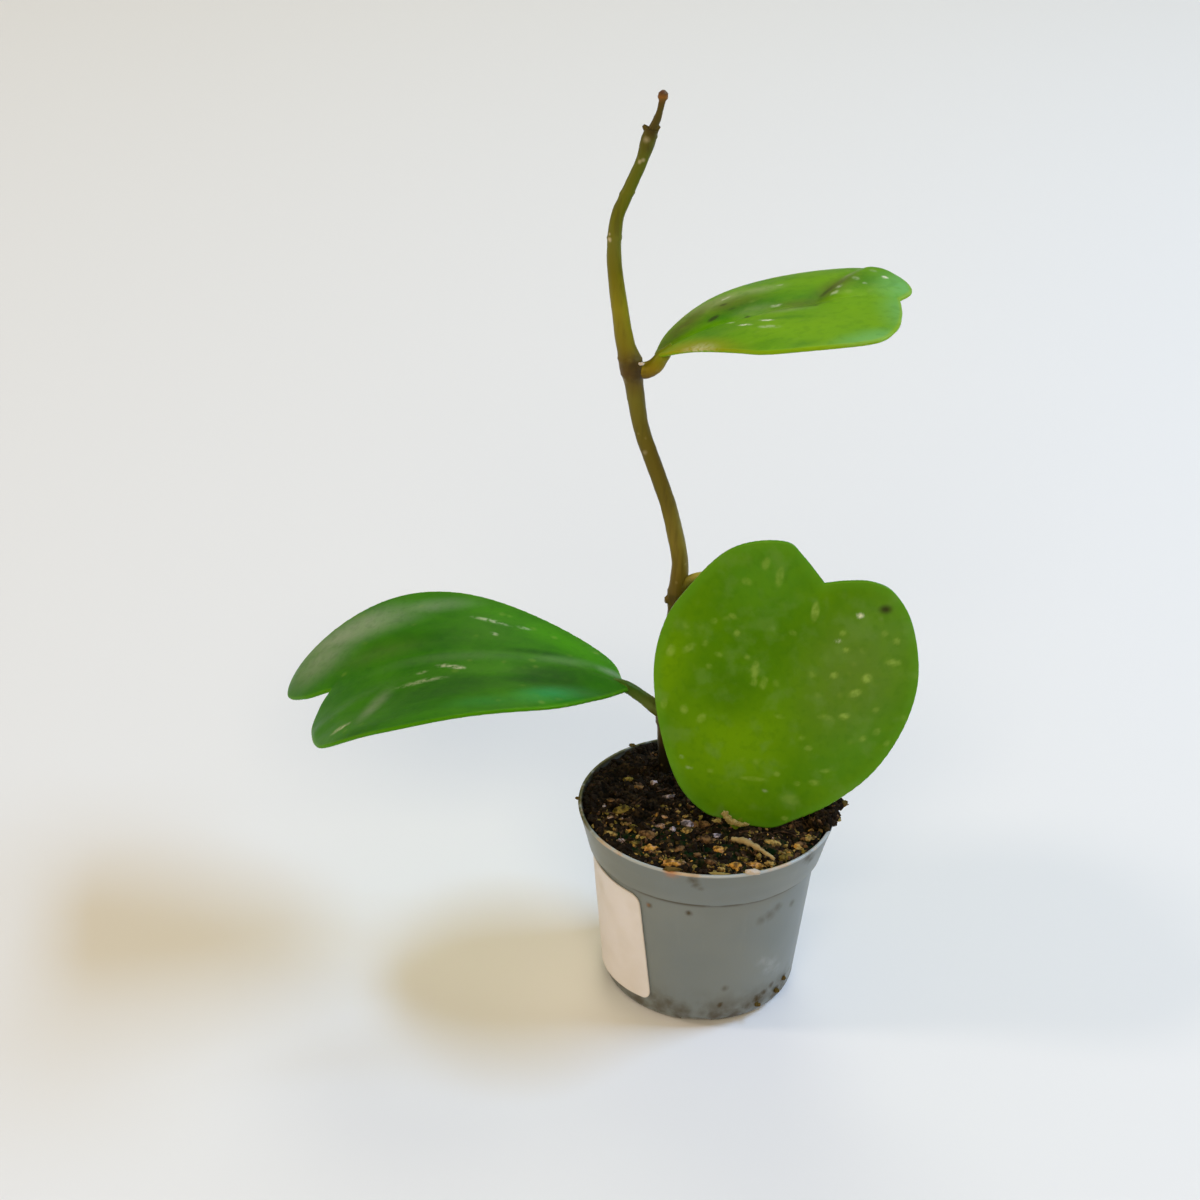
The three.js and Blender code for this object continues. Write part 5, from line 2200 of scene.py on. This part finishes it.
UPPER_MARKS = (
    *marks(
        Tint.LIME, 1.0,
        (31, -14, 26, 10, 0, 0.6), (36, 14, 17, 8, 0, 0.55), (44, -8, 18, 14, 0, 0.7),
    ),
    # Darker green patches, with painted shade below the fold at 48.5, 7 and along the lower margin
    *marks(
        Tint.SHADE, 1.0,
        (22, 4.0, 14, 6.0, 0, 0.9), (37, 3.0, 12, 5.0, 20, 0.6), (48.5, 7.0, 8, 7, 56, 0.65),
        (30, -7, 10, 2.0, -20, 0.4), (24, -21, 12, 2.6, -8, 0.35), (33.7, -24.1, 6, 2.4, 0, 0.5),
        (14, -3, 10, 6, -40, 0.3),
    ),
    # Painted bluish sheen where the margins curl down at the tip
    *marks(
        Tint.TEAL, 1.0,
        (58, -9, 10, 26, 0, 1.0), (49.5, -26, 15, 8.0, 14, 1.0), (57.5, 5, 10, 14, 0, 1.0),
    ),
    # Grey bloom and painted sheen
    *marks(
        Tint.GREY, 1.0,
        (15, 12.2, 14, 6.0, 10, 0.9), (25, 13.2, 9.0, 4.4, 0, 0.6), (24, 2.0, 7, 4.0, 0, 0.35),
        (31, -1.5, 9, 3.0, -10, 0.35), (45, 12.9, 5.0, 1.0, 61, 0.55),
    ),
    # Dull olive patches; the one at 42, 7 runs along the fold and is painted shade in the crease over
    # brown dirt
    *marks(
        Tint.OLIVE, 1.0,
        (8, 6.6, 16, 7.0, 42, 1.0), (19, 8.5, 13, 6.0, 6, 0.8), (34, 1.0, 11, 4.0, 0, 0.7),
        (42.0, 7.0, 12, 5.6, 56, 0.9),
    ),
    *marks(
        Tint.WARM, 1.0,
        (9.5, -10.6, 22, 7.0, -47, 0.8),
    ),
    *marks(
        Tint.CHALK, 1.0,
        (10.8, -12.4, 8.0, 4.0, -47, 0.5),
    ),
    # Dark specks; the streak at 40, 5 along the fold is painted shade in the crease
    *marks(
        Tint.DARK, 0.6,
        (17.4, 9.1, 1.2, 0.9, 0, 0.6), (14.9, 3.4, 2.1, 1.2, 35, 0.75),
        (22.3, -0.5, 1.0, 0.9, 0, 0.85), (19.2, 5.3, 1.3, 0.7, 0, 0.35),
        (37.2, -1.2, 0.8, 0.9, 0, 0.5), (40.0, 5.0, 3.6, 0.9, 56, 0.45),
    ),
    # Whitish scars and painted white glints
    *marks(
        Tint.CHALK, 0.6,
        (26.4, -6.8, 2.3, 0.7, -35, 1.0), (21.6, -6.5, 2.7, 0.7, -41, 0.9),
        (18.5, -1.5, 1.6, 0.6, -42, 0.45), (26.8, -11.8, 3.6, 1.2, -32, 0.3),
        (28.8, 2.0, 1.6, 0.9, 0, 0.4), (30.2, 14.0, 1.3, 0.6, 0, 0.3),
        (17.8, 12.9, 1.8, 0.7, 30, 0.6), (53.1, 9.3, 0.9, 1.2, 30, 1.0),
        (50.8, 13.4, 0.9, 1.6, 30, 0.2), (46.7, 8.7, 0.9, 1.6, 20, 0.3),
        (42.7, 5.0, 1.5, 0.8, 50, 0.4), (41.6, 2.4, 1.4, 0.9, 40, 0.35),
        (48.4, 5.7, 0.7, 0.9, 0, 0.3),
    ),
)


# The three leaves, as the solids have them
LEAVES = (
    Leaf(
        name="heart_leaf_upright",
        node="heart_leaf",
        slot="heart_leaf_skin",
        finish=LeafFinish(
            "heart_leaf_skin",
            deep=paint(66, 116, 0),
            fresh=paint(78, 125, 2),
            lime=paint(97, 142, 0),
            teal_sheen=paint(70, 128, 28),
            grey=paint(102, 138, 66),
            under=paint(110, 150, 50),
            rim=paint(84, 140, 34),
            shade=paint(50, 100, 0),
            olive=paint(84, 118, 36),
            gloss=0.18,
            veil=0.3,
            mottle=0.2,
            rim_width=3.0,
        ),
        skin=BarkFinish(
            "heart_petiole_skin", ramp((30.0, 92, 90, 24), (56.0, 88, 124, 14)), 30.0, 56.0
        ),
        base=(7.0, -10.0, 49.2),
        heading=(0.27, 0.2, 0.94),
        facing=(0, -0.98, 0.21),
        length=68,
        notch=61,
        outline_a=(
            (0.5, 2), (0.5, 8.5), (5.5, 16.5), (17, 24.5), (30, 30), (41.5, 31),
            (50.5, 28.5), (60, 24), (65, 18.5), (67.5, 11), (65.5, 6.5),
        ),
        outline_b=(
            (0.5, 2.5), (1.5, 7.5), (4.5, 11.5), (11.5, 19), (21.5, 25.5), (34, 28.5),
            (46, 27.5), (57.5, 22), (63.5, 15.5), (64.5, 10), (63, 4.5),
        ),
        half_widths=(31.5, 29),
        bend=0.06,
        droop=0,
        twist=0,
        cup=(-0.05, -0.05),
        fold=0.02,
        petiole=(
            (9.2, -8.3, 56.5, 0.6), (8.0, -8.8, 52.2, 1.2), (7.0, -9.0, 49.0, 1.7),
            (6.5, -8.8, 46.6, 1.85), (6.0, -7.6, 41.0, 1.8), (5.6, -6.0, 33.0, 1.5),
        ),
        marks=HEART_MARKS,
        midrib=0.05,
        seed=3.0,
    ),
    Leaf(
        name="left_leaf_arching",
        node="left_leaf",
        slot="left_leaf_skin",
        finish=LeafFinish(
            "left_leaf_skin",
            deep=paint(32, 104, 2),
            fresh=paint(52, 121, 6),
            lime=paint(60, 136, 2),
            teal_sheen=paint(34, 134, 66),
            grey=paint(142, 158, 134),
            under=paint(100, 144, 50),
            rim=paint(84, 146, 4),
            shade=paint(0, 70, 12),
            olive=paint(84, 116, 40),
            gloss=0.12,
            streaky=0.4,
        ),
        skin=BarkFinish(
            "left_petiole_skin",
            ramp((62.0, 92, 88, 26), (66.0, 104, 118, 56), (71.0, 48, 84, 8)),
            62.0,
            72.0,
        ),
        base=(-19.4, 14.5, 70.6),
        heading=(-0.95, 0.08, 0.31),
        facing=(0.31, 0.04, 0.95),
        length=82,
        notch=73,
        outline_a=(
            (-0.5, 2), (6.5, 12), (19.5, 25), (44, 33.5), (60.5, 31), (72.5, 25),
            (77.5, 13.5), (76, 5),
        ),
        outline_b=(
            (1, 1), (6, 10.5), (25, 21), (44.5, 28.5), (61.5, 29), (81.5, 21),
            (87.5, 12.5), (81.5, 4.5),
        ),
        half_widths=(33, 28.5),
        bend=-0.64,
        droop=-0.46,
        twist=-0.21,
        cup=(0.135, 0.035),
        fold=-0.017,
        petiole=(
            (-9.0, 14.0, 62.5, 1.9), (-12.4, 14.1, 65.2, 1.7), (-16.0, 14.4, 68.0, 1.5),
            (-19.6, 14.5, 70.4, 1.45), (-24.5, 14.9, 71.7, 0.9),
        ),
        marks=LEFT_MARKS,
        swells=(
            Swell((6, 8), (34, 9.5), 3.2, -0.5),
            Swell((10, 16), (40, 22), 4.0, 0.5),
            Swell((30, -6), (66, -8), 3.0, -0.35),
            Swell((46, 10), (74, 16), 3.0, 0.35),
        ),
        midrib=0.1,
        seed=7.0,
    ),
    Leaf(
        name="upper_leaf_raised",
        node="upper_leaf",
        slot="upper_leaf_skin",
        finish=LeafFinish(
            "upper_leaf_skin",
            deep=paint(78, 138, 0),
            fresh=paint(102, 153, 2),
            lime=paint(114, 163, 0),
            teal_sheen=paint(104, 170, 92),
            grey=paint(150, 164, 110),
            under=paint(112, 158, 50),
            rim=paint(146, 172, 30),
            shade=paint(36, 106, 4),
            olive=paint(80, 94, 26),
            gloss=0.08,
            mottle=0.2,
        ),
        skin=BarkFinish(
            "upper_petiole_skin",
            ramp((147.0, 96, 66, 16), (150.0, 124, 106, 6), (155.0, 100, 124, 4)),
            147.0,
            155.0,
        ),
        base=(-16.0, 19.0, 152.0),
        heading=(0.81, 0.01, 0.59),
        facing=(-0.59, 0.03, 0.81),
        length=59,
        notch=55.5,
        outline_a=(
            (0, 1), (4.2, 9.3), (16, 20.3), (31, 24.5), (44.5, 24), (52, 19),
            (56.5, 12), (58.5, 4),
        ),
        outline_b=(
            (1, 1), (8, 8.5), (19, 20), (28, 25.5), (47, 26), (53, 20.5), (55, 12),
            (55.5, 4),
        ),
        half_widths=(27, 26),
        bend=-1.2,
        droop=0.73,
        twist=0.03,
        cup=(-0.21, -0.1),
        fold=0.18,
        petiole=(
            (-20.6, 18.9, 149.2, 2.0), (-18.0, 18.9, 148.9, 1.9), (-15.9, 18.9, 150.0, 1.8),
            (-14.4, 18.9, 152.2, 1.6), (-12.0, 19.0, 155.0, 0.9),
        ),
        marks=UPPER_MARKS,
        swells=(Swell((38.5, 0.5), (48.5, 17.5), 1.9, 1.1, step=True),),
        midrib=0.3,
        seed=12.0,
    ),
)


@dataclass
class SmallBits:
    """Crumbs that lie on the leaf and on the lip, and pale lumps in the leaf axils that are partly bud
    scales and partly painted white glints.
    """

    tan: Lumps = (
        ((3.7, -11.6, 52.9), (0.7, 0.4, 0.8)), ((4.5, -11.8, 51.9), (0.8, 0.45, 0.9)),
        ((5.4, -11.8, 51.0), (1.1, 0.5, 0.75)), ((6.9, -11.8, 50.4), (1.0, 0.5, 0.6)),
        ((8.4, -11.5, 50.2), (0.9, 0.4, 0.45)), ((2.0, -11.3, 50.8), (0.9, 0.4, 0.4)),
        ((2.2, -28.9, 48.3), (2.0, 0.35, 0.35)), ((30.2, -5.9, 48.7), (0.75, 0.6, 0.5)),
    )
    # Pale crumbs; the two in the axils, at 101.6 and 151.4 mm, are partly painted white glints
    pale: Lumps = (
        ((9.8, -28.1, 48.5), (1.6, 0.7, 0.55)), ((-5.7, 10.0, 101.6), (0.7, 0.3, 0.35)),
        ((-18.9, 16.6, 151.4), (0.6, 0.3, 0.3)),
    )
    brown: Lumps = (
        ((31.9, -1.4, 50.1), (0.9, 0.7, 0.6)), ((-8.4, -27.9, 48.4), (1.9, 0.7, 0.45)),
        ((-30.1, 0.0, 48.4), (0.5, 0.45, 0.3)), ((-17.5, 24.2, 48.4), (0.8, 0.5, 0.35)),
        ((19.9, -12.1, 7.4), (0.5, 0.5, 0.6)), ((18.1, -14.6, 5.6), (0.6, 0.5, 0.6)),
        ((13.6, -18.5, 4.4), (0.7, 0.5, 0.6)),
    )

    def lumps(self, name: str, spots: Lumps) -> Piece:
        """Small knobbly lumps.

        Args:
            name: The piece's name.
            spots: Each lump's middle and half sizes.

        Returns:
            The lumps as one mesh.
        """
        made = []
        for at, size in spots:
            piece = Bench.ball("lump", 4)
            points = Bench.points(piece)
            points *= 1 + 0.55 * roughness_at(points + np.array(at), 1.4, 4, 5.0)[:, None]
            Bench.place(piece, points * np.array(size) + np.array(at))
            made.append(piece)
        return Bench.join(name, made)

    def build(self) -> None:
        """Makes and dresses the bits."""
        tan = EarthFinish("dry_bark_bit", paint(138, 122, 66), paint(202, 188, 136), scale=700)
        pale = EarthFinish("pale_bit", paint(190, 176, 160), paint(226, 218, 210), scale=500)
        brown = EarthFinish("lip_crumb", paint(78, 64, 22), paint(148, 104, 44), scale=600)
        for name, spots, look in (
            ("dry_bark_bits", self.tan, tan),
            ("pale_bits_and_glints", self.pale, pale),
            ("lip_crumbs", self.brown, brown),
        ):
            Bench.finish(self.lumps(name, spots), look.material(), "potting_soil")


@dataclass(frozen=True)
class Lamp:
    """A soft rectangular light: where it hangs as seen from the plant, its size and its light."""

    name: str
    way: Triple
    distance: float
    width: float
    height: float
    power: float
    colour: Triple


@dataclass
class Studio:
    """Pale floor, soft lights and the camera."""

    location: Triple = (-26.37, -490.56, 367.4)
    right: Triple = (0.9995, 0.0149, 0.0275)
    up: Triple = (-0.0313, 0.4768, 0.8785)
    forward: Triple = (0.0, 0.8789, -0.477)
    lens: float = 75.0
    sensor: float = 36.0
    sight: Pair = (0.01, 50.0)
    floor_size: float = 12.0
    floor: Triple = (0.8, 0.8, 0.8)
    world: Triple = (0.346, 0.293, 0.2)
    lamps: tuple[Lamp, ...] = (
        Lamp("window_key", (0.92, 0.12, 1.0), 2.0, 0.9, 0.28, 32.5, (0.405, 0.622, 0.95)),
        Lamp("back_skylight", (0.0, 0.9, 1.0), 2.0, 0.8, 0.8, 5.4, (0.98, 0.97, 0.74)),
        Lamp("front_room", (-0.05, -1.3, 1.0), 3.5, 2.3, 1.05, 52.0, (1.0, 0.83, 0.6)),
        Lamp("left_lamp", (-2.0, -0.15, 1.0), 3.0, 0.45, 0.3, 22.0, (1.0, 0.83, 0.71)),
    )

    def camera(self) -> None:
        """The camera where the photograph was taken from."""
        data = bpy.data.cameras.new("camera")
        data.lens = self.lens
        data.sensor_width = self.sensor
        data.clip_start, data.clip_end = self.sight
        made = Bench.add("camera", data)
        columns = [Vector(self.right), Vector(self.up), -Vector(self.forward)]
        turn = Matrix([[c[k] for c in columns] for k in range(3)]).to_4x4()
        made.matrix_world = Matrix.Translation(Vector(self.location) * MM) @ turn
        bpy.context.scene.camera = made

    def ground(self) -> None:
        """The plain floor."""
        Bench.clear()
        bpy.ops.mesh.primitive_plane_add(size=self.floor_size, location=(0, 0, 0))
        piece = Bench.new("studio_floor")
        s = Shader("pale_floor")
        piece.data.materials.append(s.set(Base_Color=self.floor, Roughness=0.6, Specular_IOR_Level=0.2))

    def light(self, lamp: Lamp) -> None:
        """Hangs a soft light and aims it at the plant's foot.

        Args:
            lamp: The light.
        """
        data = bpy.data.lights.new(lamp.name, "AREA")
        data.shape = "RECTANGLE"
        data.size, data.size_y = lamp.width, lamp.height
        data.energy, data.color = lamp.power, lamp.colour
        made = Bench.add(lamp.name, data)
        away = Vector(lamp.way).normalized() * lamp.distance
        made.location = away
        made.rotation_euler = (-away).to_track_quat("-Z", "Y").to_euler()

    def build(self) -> None:
        """Sets up the studio."""
        self.camera()
        self.ground()
        world = bpy.data.worlds.new("soft_room")
        world.use_nodes = True
        world.node_tree.nodes["Background"].inputs[0].default_value = (*self.world, 1)
        bpy.context.scene.world = world
        for lamp in self.lamps:
            self.light(lamp)
        bpy.context.scene.view_settings.view_transform = "Standard"


def main() -> None:
    """Builds every piece in order."""
    logging.basicConfig(level=logging.INFO, format="%(name)s %(message)s")
    Studio().build()
    pot = Pot()
    pot.build()
    Sticker(pot).build()
    Soil(pot).build()
    Stem().build()
    for leaf in LEAVES:
        leaf.build()
    SmallBits().build()
    root = EarthFinish("young_root", paint(150, 124, 88), paint(204, 186, 150), scale=500)
    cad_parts["roots"].data.materials.clear()
    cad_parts["roots"].data.materials.append(root.material())


if __name__ == "__main__":
    main()
